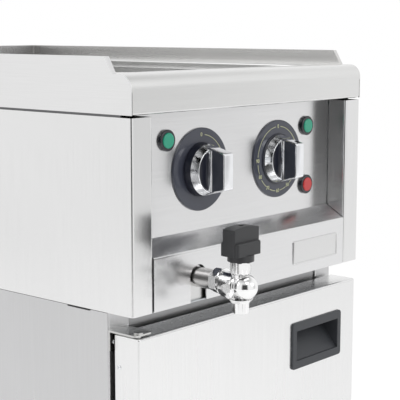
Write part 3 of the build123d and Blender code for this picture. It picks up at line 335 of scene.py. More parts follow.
@dataclass(frozen=True)
class BrushedSteel(Finish):
    """Stainless sheet with a brushed or satin grain."""

    grain: Grain
    roughness: float = 0.3
    density: float = 14.0
    streaks: float = 0.05
    clouds: float = 0.03
    relief: float = 0.02 * MM
    anisotropy: float = 0.4
    level_rotation: float = 0.25
    cloud_scale: float = 4.0
    cloud_contrast: float = 1.6
    spread: float = 0.18
    bump: float = 0.6

    def build(self, groups: SurfaceGroups) -> Material:
        """Makes the material.

        Args:
            groups: Shared node groups.

        Returns:
            The finished material.
        """
        material, graph, surface, place, cloud = self.start(
            groups, self.cloud_scale, self.cloud_contrast)
        grain = graph.add("ShaderNodeGroup", {"Vector": place, "Stretch": self.grain.value,
                                              "Density": self.density}, node_tree=groups.grain)
        streak = graph.ramp(grain.outputs["Streak"], 1.0 - self.streaks, 1.0 + self.streaks)
        soft = graph.ramp(cloud, 1.0 - self.clouds, 1.0 + self.clouds)
        level = graph.math("MULTIPLY", streak, soft)
        grey = graph.add("ShaderNodeCombineColor", {0: level, 1: level, 2: level}).outputs[0]
        bump = graph.add("ShaderNodeBump", {
            "Strength": self.bump, "Distance": self.relief, "Height": grain.outputs["Streak"]})
        graph.fill(surface, {
            "Base Color": graph.mix(1.0, (*self.tone, 1.0), grey, blend_type="MULTIPLY",
                                    clamp_result=True),
            "Roughness": graph.ramp(grain.outputs["Scratch"], self.roughness * (1 - self.spread),
                                    self.roughness * (1 + self.spread)),
            "Normal": bump.outputs["Normal"],
            "Metallic": 1.0,
            "Anisotropic": self.anisotropy,
            "Anisotropic Rotation": 0.0 if self.grain is Grain.UPRIGHT else self.level_rotation})
        return material


@dataclass(frozen=True)
class Plating(Finish):
    """Bright or satin plated metal with faint handling marks."""

    roughness: float = 0.06
    marks: float = 0.05
    bend: float = 0.4 * MM
    cloud_scale: float = 60.0
    cloud_contrast: float = 1.5
    shade: float = 0.9

    def build(self, groups: SurfaceGroups) -> Material:
        """Makes the material.

        Args:
            groups: Shared node groups.

        Returns:
            The finished material.
        """
        material, graph, surface, _, cloud = self.start(
            groups, self.cloud_scale, self.cloud_contrast)
        edge = graph.add("ShaderNodeGroup", {"Radius": self.bend}, node_tree=groups.bends)
        graph.fill(surface, {
            "Base Color": self.shaded(graph, cloud, self.shade),
            "Roughness": graph.ramp(cloud, self.roughness, self.roughness + self.marks),
            "Normal": edge.outputs["Normal"],
            "Metallic": 1.0})
        return material


@dataclass(frozen=True)
class Moulding(Finish):
    """Plastic, rubber or enamel with a fine surface texture and rubbed edges."""

    roughness: float = 0.4
    texture: float = 0.03 * MM
    texture_scale: float = 900.0
    texture_detail: float = 2.0
    edge_tone: Colour = (0.1, 0.1, 0.1)
    edge_share: float = 0.25
    coat: float = 0.0
    glow: float = 0.0
    metallic: float = 0.0
    bend: float = 0.6 * MM
    cloud_scale: float = 25.0
    cloud_contrast: float = 1.4
    shade: float = 0.82
    spread: float = 0.15
    bump: float = 0.5

    def build(self, groups: SurfaceGroups) -> Material:
        """Makes the material.

        Args:
            groups: Shared node groups.

        Returns:
            The finished material.
        """
        material, graph, surface, place, cloud = self.start(
            groups, self.cloud_scale, self.cloud_contrast)
        edge = graph.add("ShaderNodeGroup", {"Radius": self.bend}, node_tree=groups.bends)
        share = graph.math("MULTIPLY", edge.outputs["Edge"], self.edge_share)
        tone = self.shaded(graph, cloud, self.shade)
        bump = graph.add("ShaderNodeBump", {
            "Strength": self.bump, "Distance": self.texture,
            "Height": graph.noise(place, self.texture_scale, self.texture_detail),
            "Normal": edge.outputs["Normal"]})
        graph.fill(surface, {
            "Base Color": graph.mix(share, tone, (*self.edge_tone, 1.0)),
            "Roughness": graph.ramp(cloud, self.roughness * (1 - self.spread),
                                    self.roughness * (1 + self.spread)),
            "Normal": bump.outputs["Normal"],
            "Metallic": self.metallic,
            "Coat Weight": self.coat})
        if self.glow:
            graph.fill(surface, {"Emission Color": (*self.tone, 1.0),
                                 "Emission Strength": self.glow})
        return material


FINISHES: tuple[tuple[Finish, str], ...] = (
    (BrushedSteel("steel_deck", (0.73, 0.73, 0.725), Grain.ACROSS, 0.24), "worktop rear_upstand"),
    (BrushedSteel("steel_ends", (0.76, 0.76, 0.76), Grain.DEEP, 0.32), "end_plate_left"),
    # Painted shade: the right end plate is the left end's steel, toned darker for the shade on its
    # inner face.
    (BrushedSteel("steel_right_end_painted_shade", (0.67, 0.665, 0.655), Grain.DEEP, 0.26), "end_plate_right"),
    (BrushedSteel("steel_panel", (0.765, 0.765, 0.765), Grain.UPRIGHT, 0.2),
     "side_panel_left side_panel_right back_panel"),
    (BrushedSteel("steel_front", (0.75, 0.75, 0.755), Grain.ACROSS, 0.24, streaks=0.06),
     "control_fascia"),
    (BrushedSteel("steel_inner", (0.68, 0.68, 0.675), Grain.NONE, 0.3, relief=FINE_TEXTURE),
     "well_tank false_bottom slot_patch door_liner"),
    # Painted shade: the cabinet is the door's steel, toned darker for the shaded floor that its
    # sides reflect.
    (BrushedSteel("steel_cabinet", (0.58, 0.58, 0.585), Grain.UPRIGHT, 0.3),
     "cabinet_side_left cabinet_side_right cabinet_back cabinet_floor"),
    (BrushedSteel("steel_door", (0.79, 0.79, 0.79), Grain.UPRIGHT, 0.26), "door_skin"),
    # Painted shade: the front rail, recessed under the heated unit, is toned dark for the shadow
    # that it sits in.
    (BrushedSteel("steel_rail_painted_shade", (0.42, 0.42, 0.425), Grain.ACROSS, 0.34), "cabinet_front_rail"),
    # Painted shade: the deck rails, seen through the gap under the apron, are toned near black so
    # that the gap reads as a shadow line.
    (BrushedSteel("steel_gap_painted_shade", (0.16, 0.16, 0.165), Grain.NONE, 0.5), "deck_rails"),
    (BrushedSteel("steel_galvanised", (0.55, 0.57, 0.59), Grain.NONE, 0.45, clouds=0.12),
     "fascia_brackets base_tray"),
    (BrushedSteel("plate_metal", (0.72, 0.72, 0.72), Grain.NONE, 0.34, density=60.0), "nameplate"),
    (Plating("steel_pressed", (0.6, 0.6, 0.59), 0.2),
     "hinge_brackets hinge_pins catch_strike leg_sleeves"),
    (Plating("plated", (0.86, 0.87, 0.89), 0.05),
     "switch_knob thermostat_knob switch_shaft thermostat_shaft handle_screw rear_screws"),
    (Plating("tap_metal", (0.93, 0.93, 0.93), 0.05), "valve_nut valve_body valve_gland"),
    (Plating("pipe_metal", (0.66, 0.65, 0.64), 0.24, 0.1), "drain_pipe"),
    (Plating("copper", (0.72, 0.4, 0.26), 0.25), "thermostat_capillary"),
    (Plating("ball_brass", (0.75, 0.58, 0.28), 0.2), "valve_ball valve_stem"),
    (Moulding("dial_print", (0.056, 0.062, 0.088), 0.3, FINE_TEXTURE, coat=0.3),
     "switch_dial thermostat_dial"),
    (Moulding("scale_print", (0.78, 0.8, 0.5), 0.5, edge_share=0.0), ""),
    (Moulding("black_gloss", (0.012, 0.014, 0.022), 0.2, FINE_TEXTURE, coat=0.3),
     "pilot_bezels switch_knob_inserts thermostat_knob_inserts"),
    (Moulding("knob_navy", (0.012, 0.014, 0.028), 0.3, FINE_TEXTURE, coat=0.1), ""),
    # Painted reflection: the dial's dark slate as seen in the polished sides of the knob bars.
    (Moulding("knob_painted_reflection", (0.05, 0.056, 0.075), 0.3, FINE_TEXTURE, coat=0.2), ""),
    (Moulding("black_plastic", (0.034, 0.035, 0.038), 0.42),
     "tap_handle cable_gland hinge_bushes magnet_catch leg_feet"),
    (Moulding("pull_plastic", (0.052, 0.056, 0.064), 0.5), "door_pull"),
    (Moulding("lens_green", (0.015, 0.36, 0.22), 0.25, FINE_TEXTURE, coat=0.3, glow=0.12),
     "pilot_lenses_green"),
    (Moulding("lens_red", (0.62, 0.03, 0.03), 0.25, FINE_TEXTURE, coat=0.3, glow=0.1),
     "pilot_lens_red"),
    (Moulding("control_plastic", (0.6, 0.57, 0.48), 0.5),
     "switch_body thermostat_body limiter_body terminal_block"),
    (Moulding("element_sheath", (0.12, 0.11, 0.1), 0.45, metallic=0.8), "heating_element"),
    (Moulding("seat_polymer", (0.85, 0.85, 0.82), 0.4), "valve_seat"),
    # Real rubber on the door bumpers; the same black also paints the shade strips under the side
    # panels.
    (Moulding("soft_rubber", (0.02, 0.02, 0.02), 0.7), "door_bumpers"),
    (Moulding("button_red", (0.5, 0.03, 0.02), 0.3), "reset_button"),
)


class Finishes:
    """Every finish of the object, built once, by its name and by construction node."""

    def __init__(self) -> None:
        """Builds the materials."""
        groups = SurfaceGroups()
        self.by_name: dict[str, Material] = {}
        self.by_node: dict[str, Material] = {}
        for finish, nodes in FINISHES:
            self.by_name[finish.name] = finish.build(groups)
            self.by_node |= dict.fromkeys(nodes.split(), self.by_name[finish.name])

    def __getitem__(self, name: str) -> Material:
        """Material of a finish."""
        return self.by_name[name]

    def dress(self, nodes: dict[str, Object]) -> None:
        """Puts each node's finish into its material slots.

        Args:
            nodes: Construction nodes by name.
        """
        for name, node in nodes.items():
            for holder in node.material_slots:
                holder.material = self.by_node[name]
            LOG.info("finish %s on %s", self.by_node[name].name, name)


def add_object(name: str, data: bpy.types.ID) -> Object:
    """Adds an object to the scene.

    Args:
        name: Name of the object.
        data: Its mesh, curve, lamp or camera.

    Returns:
        The new object.
    """
    made = bpy.data.objects.new(name, data)
    bpy.context.scene.collection.objects.link(made)
    return made


def real_mesh(holder: Object) -> bpy.types.Mesh:
    """Plain mesh of an object, with its curve or its modifier worked out."""
    graph = bpy.context.evaluated_depsgraph_get()
    return bpy.data.meshes.new_from_object(holder.evaluated_get(graph))


def middle_of(node: str, plane: Plane) -> Vector:
    """Middle of a node's front or rear plane.

    Args:
        node: Construction node.
        plane: Plane of its box.

    Returns:
        The point.
    """
    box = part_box(node)
    middle = (box[0] + box[1]) / 2
    return Vector((middle.x, box[plane].y, middle.z))


def mesh_object(bm: BMesh, name: str, material: Material | None,
                smooth_below: float = 35.0) -> Object:
    """Turns a bmesh into a smooth-shaded object with crisp edges where it turns sharply.

    Args:
        bm: Source mesh, freed here.
        name: Name of the piece.
        material: Its finish, or nothing for a form that a tree dresses.
        smooth_below: Largest angle, in degrees, that is shaded smooth.

    Returns:
        The new object.
    """
    bmesh.ops.remove_doubles(bm, verts=bm.verts, dist=WELD_DISTANCE)
    bmesh.ops.recalc_face_normals(bm, faces=bm.faces)
    for face in bm.faces:
        face.smooth = True
    for edge in sharp_edges(bm, smooth_below):
        edge.smooth = False
    mesh = bpy.data.meshes.new(name)
    bm.to_mesh(mesh)
    bm.free()
    if material:
        mesh.materials.append(material)
    return add_object(name, mesh)


def finish_piece(piece: Object, body: Body, slot: str, *replaced: str) -> None:
    """Hangs a piece on its body, hides the construction nodes that it stands for and logs it.

    Args:
        piece: Finished object.
        body: Body that carries it.
        slot: Not used.
        *replaced: Construction nodes that it hides.
    """
    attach(piece, body.value)
    if replaced:
        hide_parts(*replaced)
    LOG.info("piece %s on %s with %d faces", piece.name, body.value, len(piece.data.polygons))


def sharp_edges(bm: BMesh, angle: float) -> list[bmesh.types.BMEdge]:
    """Edges between two faces that turn by more than an angle in degrees."""
    limit = math.radians(angle)
    return [e for e in bm.edges if len(e.link_faces) == 2 and e.calc_face_angle(0.0) > limit]


def joined(forms: Iterable[BMesh]) -> BMesh:
    """Puts several meshes into one.

    Args:
        forms: Meshes, freed here.

    Returns:
        The whole.
    """
    whole = bmesh.new()
    for form in forms:
        scratch = bpy.data.meshes.new("scratch")
        form.to_mesh(scratch)
        form.free()
        whole.from_mesh(scratch)
        bpy.data.meshes.remove(scratch)
    return whole


def loft(rings: Iterable[Iterable[Point]], caps: bool = False) -> BMesh:
    """Skin over rings of points; a ring of one point draws it to a tip.

    Args:
        rings: Points of each ring, in order.
        caps: Closes the first and the last ring with flat faces.

    Returns:
        The mesh.
    """
    bm = bmesh.new()
    loops = [[bm.verts.new(point) for point in ring] for ring in rings]
    if caps:
        bm.faces.new(loops[0])
        bm.faces.new(loops[-1])
    for first, second in zip(loops, loops[1:]):
        count = max(len(first), len(second))
        for step in range(count):
            after = (step + 1) % count
            corners = (first[step % len(first)], first[after % len(first)],
                       second[after % len(second)], second[step % len(second)])
            bm.faces.new(tuple(dict.fromkeys(corners)))
    return bm


def polar(radius: Callable[[float], float], steps: int) -> list[Pair]:
    """Points once round the origin, their radius worked out from the angle in radians."""
    turns = [2 * math.pi * step / steps for step in range(steps)]
    return [(radius(turn) * math.cos(turn), radius(turn) * math.sin(turn)) for turn in turns]


def lathe(profile: Sequence[Pair], steps: int = 96) -> BMesh:
    """Turned form round the Y axis, from radius and Y of each point; radius 0 closes it."""
    return loft([(u, along, v) for u, v in polar(lambda _: radius, steps if radius > 0.0 else 1)]
                for radius, along in profile)


def slab(outline: Sequence[Pair], lay: Lay, low: float, high: float) -> BMesh:
    """Prism with a flat outline between two depths."""
    return loft(([tuple((*point, depth)[index] for index in lay.value) for point in outline]
                 for depth in (low, high)), caps=True)


def soften(bm: BMesh, radius: float, segments: int, sharper_than: float = 30.0) -> BMesh:
    """Rounds every edge that turns by more than an angle.

    Args:
        bm: Mesh to change.
        radius: Radius of the rounding.
        segments: Facets across the rounding.
        sharper_than: Smallest angle, in degrees, that is rounded.

    Returns:
        The same mesh.
    """
    bmesh.ops.recalc_face_normals(bm, faces=bm.faces)
    bmesh.ops.bevel(bm, geom=sharp_edges(bm, sharper_than), offset=radius, segments=segments,
                    profile=0.5, affect="EDGES", clamp_overlap=True)
    return bm


def bend(centre: Pair, radius: float, start: float, end: float, steps: int) -> list[Pair]:
    """Points along an arc, in degrees anticlockwise from the first axis.

    Args:
        centre: Centre of the arc.
        radius: Radius of the arc.
        start: First angle.
        end: Last angle.
        steps: Number of steps.

    Returns:
        The points, both ends among them.
    """
    angles = (start + (end - start) * step / steps for step in range(steps + 1))
    turns = [math.radians(angle) for angle in angles]
    return [(centre[0] + radius * math.cos(turn), centre[1] + radius * math.sin(turn))
            for turn in turns]


def dial_arc(radius: float, start: float, end: float, steps: int) -> list[Pair]:
    """Points along an arc seen from the front, in degrees clockwise from the top."""
    return bend((0.0, 0.0), radius, QUARTER - start, QUARTER - end, steps)


def mirrored(half: list[Pair]) -> list[Pair]:
    """Outline whose second half mirrors the first in v."""
    return half + [(u, -v) for u, v in reversed(half)]


@dataclass
class Dial:
    """Printed scale on one dial plate, its angles in degrees clockwise from the top."""

    node: str
    name: str
    arcs: Sequence[Pair]
    numbers: dict[float, str]
    scale_radius: float = 37.5 * MM
    line_width: float = 0.75 * MM
    facet_angle: float = 3.0
    least_facets: int = 4
    print_height: float = 0.12 * MM
    number_height: float = 4.2 * MM
    type_size: float = 1.4
    type_weight: float = 0.03
    type_facets: int = 3

    def arc(self, start: float, end: float) -> BMesh:
        """One printed line of the scale.

        Args:
            start: First angle.
            end: Last angle.

        Returns:
            A thin bent strip.
        """
        steps = max(self.least_facets, int(abs(end - start) / self.facet_angle))
        outer, inner = (dial_arc(self.scale_radius + side * self.line_width / 2, start, end, steps)
                        for side in (1, -1))
        return slab(outer + list(reversed(inner)), Lay.Y, -self.print_height, 0.0)

    def number(self, angle: float, text: str) -> BMesh:
        """One printed number, upright on the scale radius.

        Args:
            angle: Angle of the number.
            text: Digits to print.

        Returns:
            The digits as a thin mesh.
        """
        curve = bpy.data.curves.new("digits", "FONT")
        curve.body = text
        curve.size = self.number_height * self.type_size
        curve.align_x = "CENTER"
        curve.align_y = "CENTER"
        curve.extrude = self.print_height / 2
        curve.offset = self.number_height * self.type_weight
        curve.resolution_u = self.type_facets
        holder = add_object("digits", curve)
        mesh = real_mesh(holder)
        bpy.data.objects.remove(holder)
        bm = bmesh.new()
        bm.from_mesh(mesh)
        bpy.data.meshes.remove(mesh)
        x, z = dial_arc(self.scale_radius, angle, angle, 1)[0]
        place = Matrix.Translation((x, -self.print_height / 2, z))
        upright = Matrix.Rotation(math.pi / 2, 4, "X")
        bmesh.ops.transform(bm, matrix=place @ upright, verts=bm.verts)
        return bm

    def build(self, finishes: Finishes) -> None:
        """Args:
            finishes: All finishes.
        """
        lines = [self.arc(start, end) for start, end in self.arcs]
        digits = [self.number(angle, text) for angle, text in self.numbers.items()]
        bm = joined(lines + digits)
        bmesh.ops.translate(bm, vec=middle_of(self.node, Plane.FRONT), verts=bm.verts)
        piece = mesh_object(bm, self.name, finishes["scale_print"])
        finish_piece(piece, Body.CASING, "dial_print")


def thermostat_dial(labels: Sequence[int] = range(30, 100, 10), first: float = 90.0,
                    pitch: float = 30.0, gap: float = 6.5) -> Dial:
    """Scale of the thermostat, with 0 at the top before its other numbers.

    Args:
        labels: Numbers after the 0.
        first: Angle of the first of them.
        pitch: Angle from each of them to the next.
        gap: Angle left free beside a number.

    Returns:
        The scale.
    """
    angles = [0.0, *(first + pitch * step for step in range(len(labels)))]
    arcs = [(start + gap, end - gap) for start, end in zip(angles, angles[1:] + [4 * QUARTER])]
    numbers = {angle: str(label) for angle, label in zip(angles, (0, *labels))}
    return Dial("thermostat_dial", "thermostat_scale", arcs, numbers)


@dataclass
class Knob:
    """Plated knob with a cross bar, dark plates on the bar's sides that paint its reflection of the
    dial, two black half-discs and a base disc.

    The forms are made round the origin, with the rear plane of the skirt at Y 0.
    """

    node: str
    inserts: str
    body: Body
    rear_radius: float = 28.0 * MM
    front_radius: float = 24.5 * MM
    skirt: float = 9.2 * MM
    skirt_round: float = 0.6 * MM
    round_steps: int = 4
    rim: float = 2.2 * MM
    dish: float = 1.2 * MM
    dish_floor: float = 0.8 * MM
    base_radius: float = 29.5 * MM
    base_edge: float = 0.8 * MM
    base_taper: float = 0.4 * MM
    base_lap: float = 0.1 * MM
    bar_thickness: float = 14.6 * MM
    bar_reach: float = 21.0 * MM
    bar_tip_height: float = 40.4 * MM
    bar_corner: float = 3.2 * MM
    corner_steps: int = 5
    bar_round: float = 0.9 * MM
    bar_foot_inset: float = 0.9 * MM
    bar_root: float = 1.5 * MM
    plinth: float = 1.2 * MM
    plinth_height: float = 4.3 * MM
    plinth_root: float = 1.0 * MM
    plinth_gap: float = 0.2 * MM
    plinth_tuck: float = 0.05 * MM
    plinth_round: float = 0.35 * MM
    disc_thickness: float = 0.9 * MM
    disc_rim_gap: float = 0.15 * MM
    disc_bar_gap: float = 0.2 * MM
    disc_round: float = 0.25 * MM
    disc_steps: int = 28
    inlay_margin: float = 1.7 * MM
    inlay_edge: float = 1.3 * MM
    inlay_foot: float = 4.6 * MM
    inlay_lift: float = 0.6 * MM
    inlay_corner: float = 1.6 * MM
    inlay_sink: float = 0.3 * MM
    inlay_proud: float = 0.12 * MM
    inlay_round: float = 0.1 * MM
    inset_sharp: float = 60.0
    metal_smooth: float = 28.0
    plastic_smooth: float = 40.0

    def bar(self) -> BMesh:
        """Cross bar: widest at its foot, its ends drawn in towards the tip, on a plinth.

        Returns:
            The bar and its plinth.
        """
        front = -self.skirt
        half = self.bar_thickness / 2
        corner = (front - self.bar_reach + self.bar_corner,
                  self.bar_tip_height / 2 - self.bar_corner)
        top = [(-self.bar_root, self.rear_radius - self.bar_foot_inset)]
        top += bend(corner, self.bar_corner, QUARTER, 2 * QUARTER, self.corner_steps)
        bar = soften(slab(mirrored(top), Lay.X, -half, half), self.bar_round, 4)
        wide = half + self.plinth
        reach = self.front_radius - self.rim - self.plinth_gap
        left = [(-wide, front + self.dish + self.plinth_root), (-wide, front),
                (-half + self.plinth_tuck, front - self.plinth_height)]
        section = left + [(-x, y) for x, y in reversed(left)]
        return joined((bar, soften(slab(section, Lay.Z, -reach, reach), self.plinth_round, 2)))

    def shell(self) -> BMesh:
        """Turned skirt with its rounded rim and dish.

        Returns:
            The closed mesh.
        """
        front = -self.skirt
        inner = self.front_radius - self.rim
        off = self.skirt_round
        floor = front + self.dish + self.dish_floor
        profile = [(0.0, 0.0), (self.rear_radius - off, 0.0), (self.rear_radius, -off)]
        for centre, start in ((self.front_radius - off, 0.0), (inner + off, -QUARTER)):
            profile += bend((centre, front + off), off, start, start - QUARTER, self.round_steps)
        return lathe([*profile, (inner, floor), (0.0, floor)])

    def half_disc(self, side: Side) -> BMesh:
        """Black inset on one side of the bar.

        Args:
            side: Side of the bar.

        Returns:
            A segment of a disc with a softened edge.
        """
        radius = self.front_radius - self.rim - self.disc_rim_gap
        chord = self.bar_thickness / 2 + self.disc_bar_gap
        reach = math.degrees(math.acos(chord / radius))
        arc = dial_arc(radius, QUARTER - reach, QUARTER + reach, self.disc_steps)
        face = -self.skirt + self.dish
        disc = slab([(side * x, z) for x, z in arc], Lay.Y, face, face + self.disc_thickness)
        return soften(disc, self.disc_round, 2, self.inset_sharp)

    def inlay(self, side: Side) -> BMesh:
        """Dark plate on one side of the cross bar: a painted reflection of the dark dial in the
        bar's polished side.

        Args:
            side: Side of the bar.

        Returns:
            A thin plate that follows the bar's outline inside a bright margin.
        """
        low = -self.skirt - self.plinth_height + self.inlay_lift
        high = -self.skirt - self.bar_reach + self.inlay_margin
        half_low = self.rear_radius - self.inlay_foot - self.inlay_edge
        half_high = self.bar_tip_height / 2 - self.inlay_edge
        top = [(low, half_low), (high + self.inlay_corner, half_high),
               (high, half_high - self.inlay_corner)]
        face = side * self.bar_thickness / 2
        plate = slab(mirrored(top), Lay.X, face - side * self.inlay_sink,
                     face + side * self.inlay_proud)
        return soften(plate, self.inlay_round, 1, self.inset_sharp)

    def base_disc(self) -> BMesh:
        """Black disc between the skirt and the dial.

        Returns:
            The closed mesh.
        """
        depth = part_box(self.inserts)[Plane.REAR].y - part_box(self.node)[Plane.REAR].y
        edge = min(self.base_edge, depth / 3)
        return lathe([
            (0.0, -self.base_lap), (self.rear_radius - self.base_taper, -self.base_lap),
            (self.rear_radius, edge), (self.base_radius, depth - edge),
            (self.base_radius - edge, depth), (0.0, depth)])

    def build(self, finishes: Finishes) -> None:
        """Args:
            finishes: All finishes.
        """
        origin = middle_of(self.node, Plane.REAR)
        discs = (self.half_disc(Side.LEFT), self.half_disc(Side.RIGHT), self.base_disc())
        painted_reflections = (self.inlay(Side.LEFT), self.inlay(Side.RIGHT))
        for suffix, forms, finish, smooth, slot, replaced in (
                ("_plated", (self.shell(), self.bar()), "plated", self.metal_smooth, "plated",
                 [self.node]),
                ("_black", discs, "knob_navy", self.plastic_smooth, "black_gloss", [self.inserts]),
                # Dark plates on the bar's sides: painted reflection of the dial.
                ("_inlays", painted_reflections, "knob_painted_reflection", self.plastic_smooth, "black_gloss", [])):
            bm = joined(forms)
            bmesh.ops.translate(bm, vec=origin, verts=bm.verts)
            piece = mesh_object(bm, self.node + suffix, finishes[finish], smooth)
            finish_piece(piece, self.body, slot, *replaced)


@dataclass
class Nameplate:
    """Bare plate with a raised rim on the lower panel."""

    node: str = "nameplate"
    corner: float = 2.0 * MM
    least_corner: float = 0.5 * MM
    corner_steps: int = 6
    rim: float = 1.6 * MM
    field_depth: float = 0.6 * MM
    edge: float = 0.4 * MM
    smooth: float = 25.0

    def ring(self, low: Vector, high: Vector, inset: float, depth: float) -> list[Point]:
        """Rounded rectangle inside the plate's outline.

        Args:
            low: Lower corner of the plate's box.
            high: Upper corner of the plate's box.
            inset: Distance inside the outline.
            depth: Distance behind the front face.

        Returns:
            Points of the ring.
        """
        radius = max(self.corner - inset, self.least_corner)
        left, right = low.x + inset + radius, high.x - inset - radius
        foot, head = low.z + inset + radius, high.z - inset - radius
        centres = ((right, head), (left, head), (left, foot), (right, foot))
        return [(x, low.y + depth, z) for index, centre in enumerate(centres)
                for x, z in bend(centre, radius, QUARTER * index, QUARTER * (index + 1),
                                 self.corner_steps)]

    def build(self, finishes: Finishes) -> None:
        """Args:
            finishes: All finishes.
        """
        low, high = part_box(self.node)
        stages = ((0.0, high.y - low.y), (0.0, self.edge), (self.edge, 0.0), (self.rim, 0.0),
                  (self.rim + self.edge, self.field_depth))
        bm = loft((self.ring(low, high, *stage) for stage in stages), caps=True)
        plate = mesh_object(bm, "rimmed_plate", finishes["plate_metal"], self.smooth)
        finish_piece(plate, Body.CASING, "plate_metal", self.node)


@dataclass
class GlandNut:
    """Plated hexagonal gland under the tap handle, one corner to the front."""

    node: str = "valve_gland"
    bore: float = 4.4 * MM
    chamfer: float = 0.9 * MM
    steps: int = 96
    smooth: float = 24.0

    def build(self, finishes: Finishes) -> None:
        """Args:
            finishes: All finishes.
        """
        low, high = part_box(self.node)
        middle = (low + high) / 2
        corner = (high.x - low.x) / 2
        flat = corner * math.cos(math.pi / 6)
        stages = ((self.bore, low.z), (flat, low.z), (corner, low.z + self.chamfer),
                  (corner, high.z - self.chamfer), (flat, high.z), (self.bore, high.z),
                  (self.bore, low.z))

        def hexagon(turn: float) -> float:
            """Radius of the hexagon at an angle in radians."""
            return flat / math.cos((turn - math.pi / 2) % (math.pi / 3) - math.pi / 6)

        bm = loft([(middle.x + x, middle.y + y, z)
                   for x, y in polar(lambda turn: min(hexagon(turn), cap), self.steps)]
                  for cap, z in stages)
        nut = mesh_object(bm, "gland_nut", finishes["tap_metal"], self.smooth)
        finish_piece(nut, Body.CASING, "tap_metal", self.node)


class RepeatTrees:
    """Geometry node trees for what repeats: fixings set on points, and rims round holes."""

    def __init__(self) -> None:
        """Builds each tree once."""
        self.fixings = self._fixings()
        self.rims = self._rims()

    @staticmethod
    def _start(name: str, inputs: dict[str, str]) -> tuple[Graph, Any, Node]:
        """Starts a tree that takes points, its own inputs and a finish."""
        sockets = {"Geometry": "Geometry", **inputs, "Finish": "Material"}
        return new_tree("GeometryNodeTree", name, sockets, {"Geometry": "Geometry"})

    @staticmethod
    def _place(graph: Graph, source: Any, result: Node, form: NodeSocket,
               scale: NodeSocket | Point) -> NodeTree:
        """Sets a form on every point, its Z axis along the point's facing, as real geometry.

        Args:
            graph: Graph of the tree.
            source: Sockets of the tree's inputs.
            result: Output node of the tree.
            form: Geometry to repeat.
            scale: Scale of each repeat.

        Returns:
            The tree.
        """
        facing = graph.add("GeometryNodeInputNamedAttribute", {"Name": "facing"},
                           data_type="FLOAT_VECTOR")
        turn = graph.add("FunctionNodeAlignRotationToVector",
                         {"Vector": facing.outputs["Attribute"]}, axis="Z")
        placed = graph.add("GeometryNodeInstanceOnPoints", {
            "Points": source["Geometry"], "Instance": form,
            "Rotation": turn.outputs["Rotation"], "Scale": scale})
        real = graph.add("GeometryNodeRealizeInstances",
                         {"Geometry": placed.outputs["Instances"]})
        dressed = graph.add("GeometryNodeSetMaterial", {
            "Geometry": real.outputs[0], "Material": source["Finish"]})
        graph.fill(result, {"Geometry": dressed.outputs[0]})
        return graph.tree

    def _fixings(self) -> NodeTree:
        """One form on every point.

        Returns:
            The tree.
        """
        graph, source, result = self._start(
            "fixings_on_points", {"Form": "Object", "Head Radius": "Float"})
        form = graph.add("GeometryNodeObjectInfo", {"Object": source["Form"]}).outputs["Geometry"]
        return self._place(graph, source, result, form, source["Head Radius"])

    def _rims(self) -> NodeTree:
        """Rounded rim round a hole at every point, in the plane across the point's facing.

        Returns:
            The tree.
        """
        graph, source, result = self._start(
            "rims_on_points", {"Hole Radius": "Float", "Rim Radius": "Float", "Facets": "Int"})
        path, section = (graph.add("GeometryNodeCurvePrimitiveCircle", {
            "Resolution": facets, "Radius": source[radius]}).outputs[0]
            for facets, radius in ((source["Facets"], "Hole Radius"), (4, "Rim Radius")))
        ring = graph.add("GeometryNodeCurveToMesh", {"Curve": path, "Profile Curve": section})
        return self._place(graph, source, result, ring.outputs[0], (1.0, 1.0, 1.0))

    @staticmethod
    def apply(name: str, tree: NodeTree, points: Sequence[Point], facing: Point,
              values: dict[str, Any]) -> Object:
        """Runs a tree on a set of points and keeps the result as a plain mesh.

        Args:
            name: Name of the piece.
            tree: Tree to run.
            points: Places of the repeats.
            facing: Direction that they face.
            values: Input name to value.

        Returns:
            The piece.
        """
        mesh = bpy.data.meshes.new(name + "_points")
        mesh.from_pydata(points, [], [])
        attribute = mesh.attributes.new("facing", "FLOAT_VECTOR", "POINT")
        for element in attribute.data:
            element.vector = facing
        holder = add_object(name + "_points", mesh)
        modifier = holder.modifiers.new("repeat", "NODES")
        modifier.node_group = tree
        for item in tree.interface.items_tree:
            if item.item_type == "SOCKET" and item.in_out == "INPUT" and item.name in values:
                modifier[item.identifier] = values[item.name]
        result = real_mesh(holder)
        holder.modifiers.remove(modifier)
        bpy.data.objects.remove(holder)
        result.name = name
        return add_object(name, result)


def screw_form(steps: int = 32, recess: float = 0.18, smooth: float = 30.0) -> Object:
    """Domed screw head of radius 1 with a cross recess, standing on its Z plane.

    Args:
        steps: Facets round the head.
        recess: Height of the recess's lowest point.
        smooth: Largest angle, in degrees, that is shaded smooth.

    Returns:
        The form, to be removed after use.
    """
    stages = ((1.0, 0.0, 0.0), (1.0, 0.0, 0.12), (0.93, 0.0, 0.26), (0.76, 0.0, 0.36),
              (0.6, 0.0, 0.41), (0.2, 0.3, 0.43), (0.16, 0.26, 0.2))
    rings = [[(x, y, height) for x, y in polar(
        lambda turn: inner + lobe * abs(math.cos(2 * turn)) ** 4, steps)]
        for inner, lobe, height in stages]
    bm = loft([[(0.0, 0.0, 0.0)], *rings, [(0.0, 0.0, recess)]])
    return mesh_object(bm, "screw_form", None, smooth)


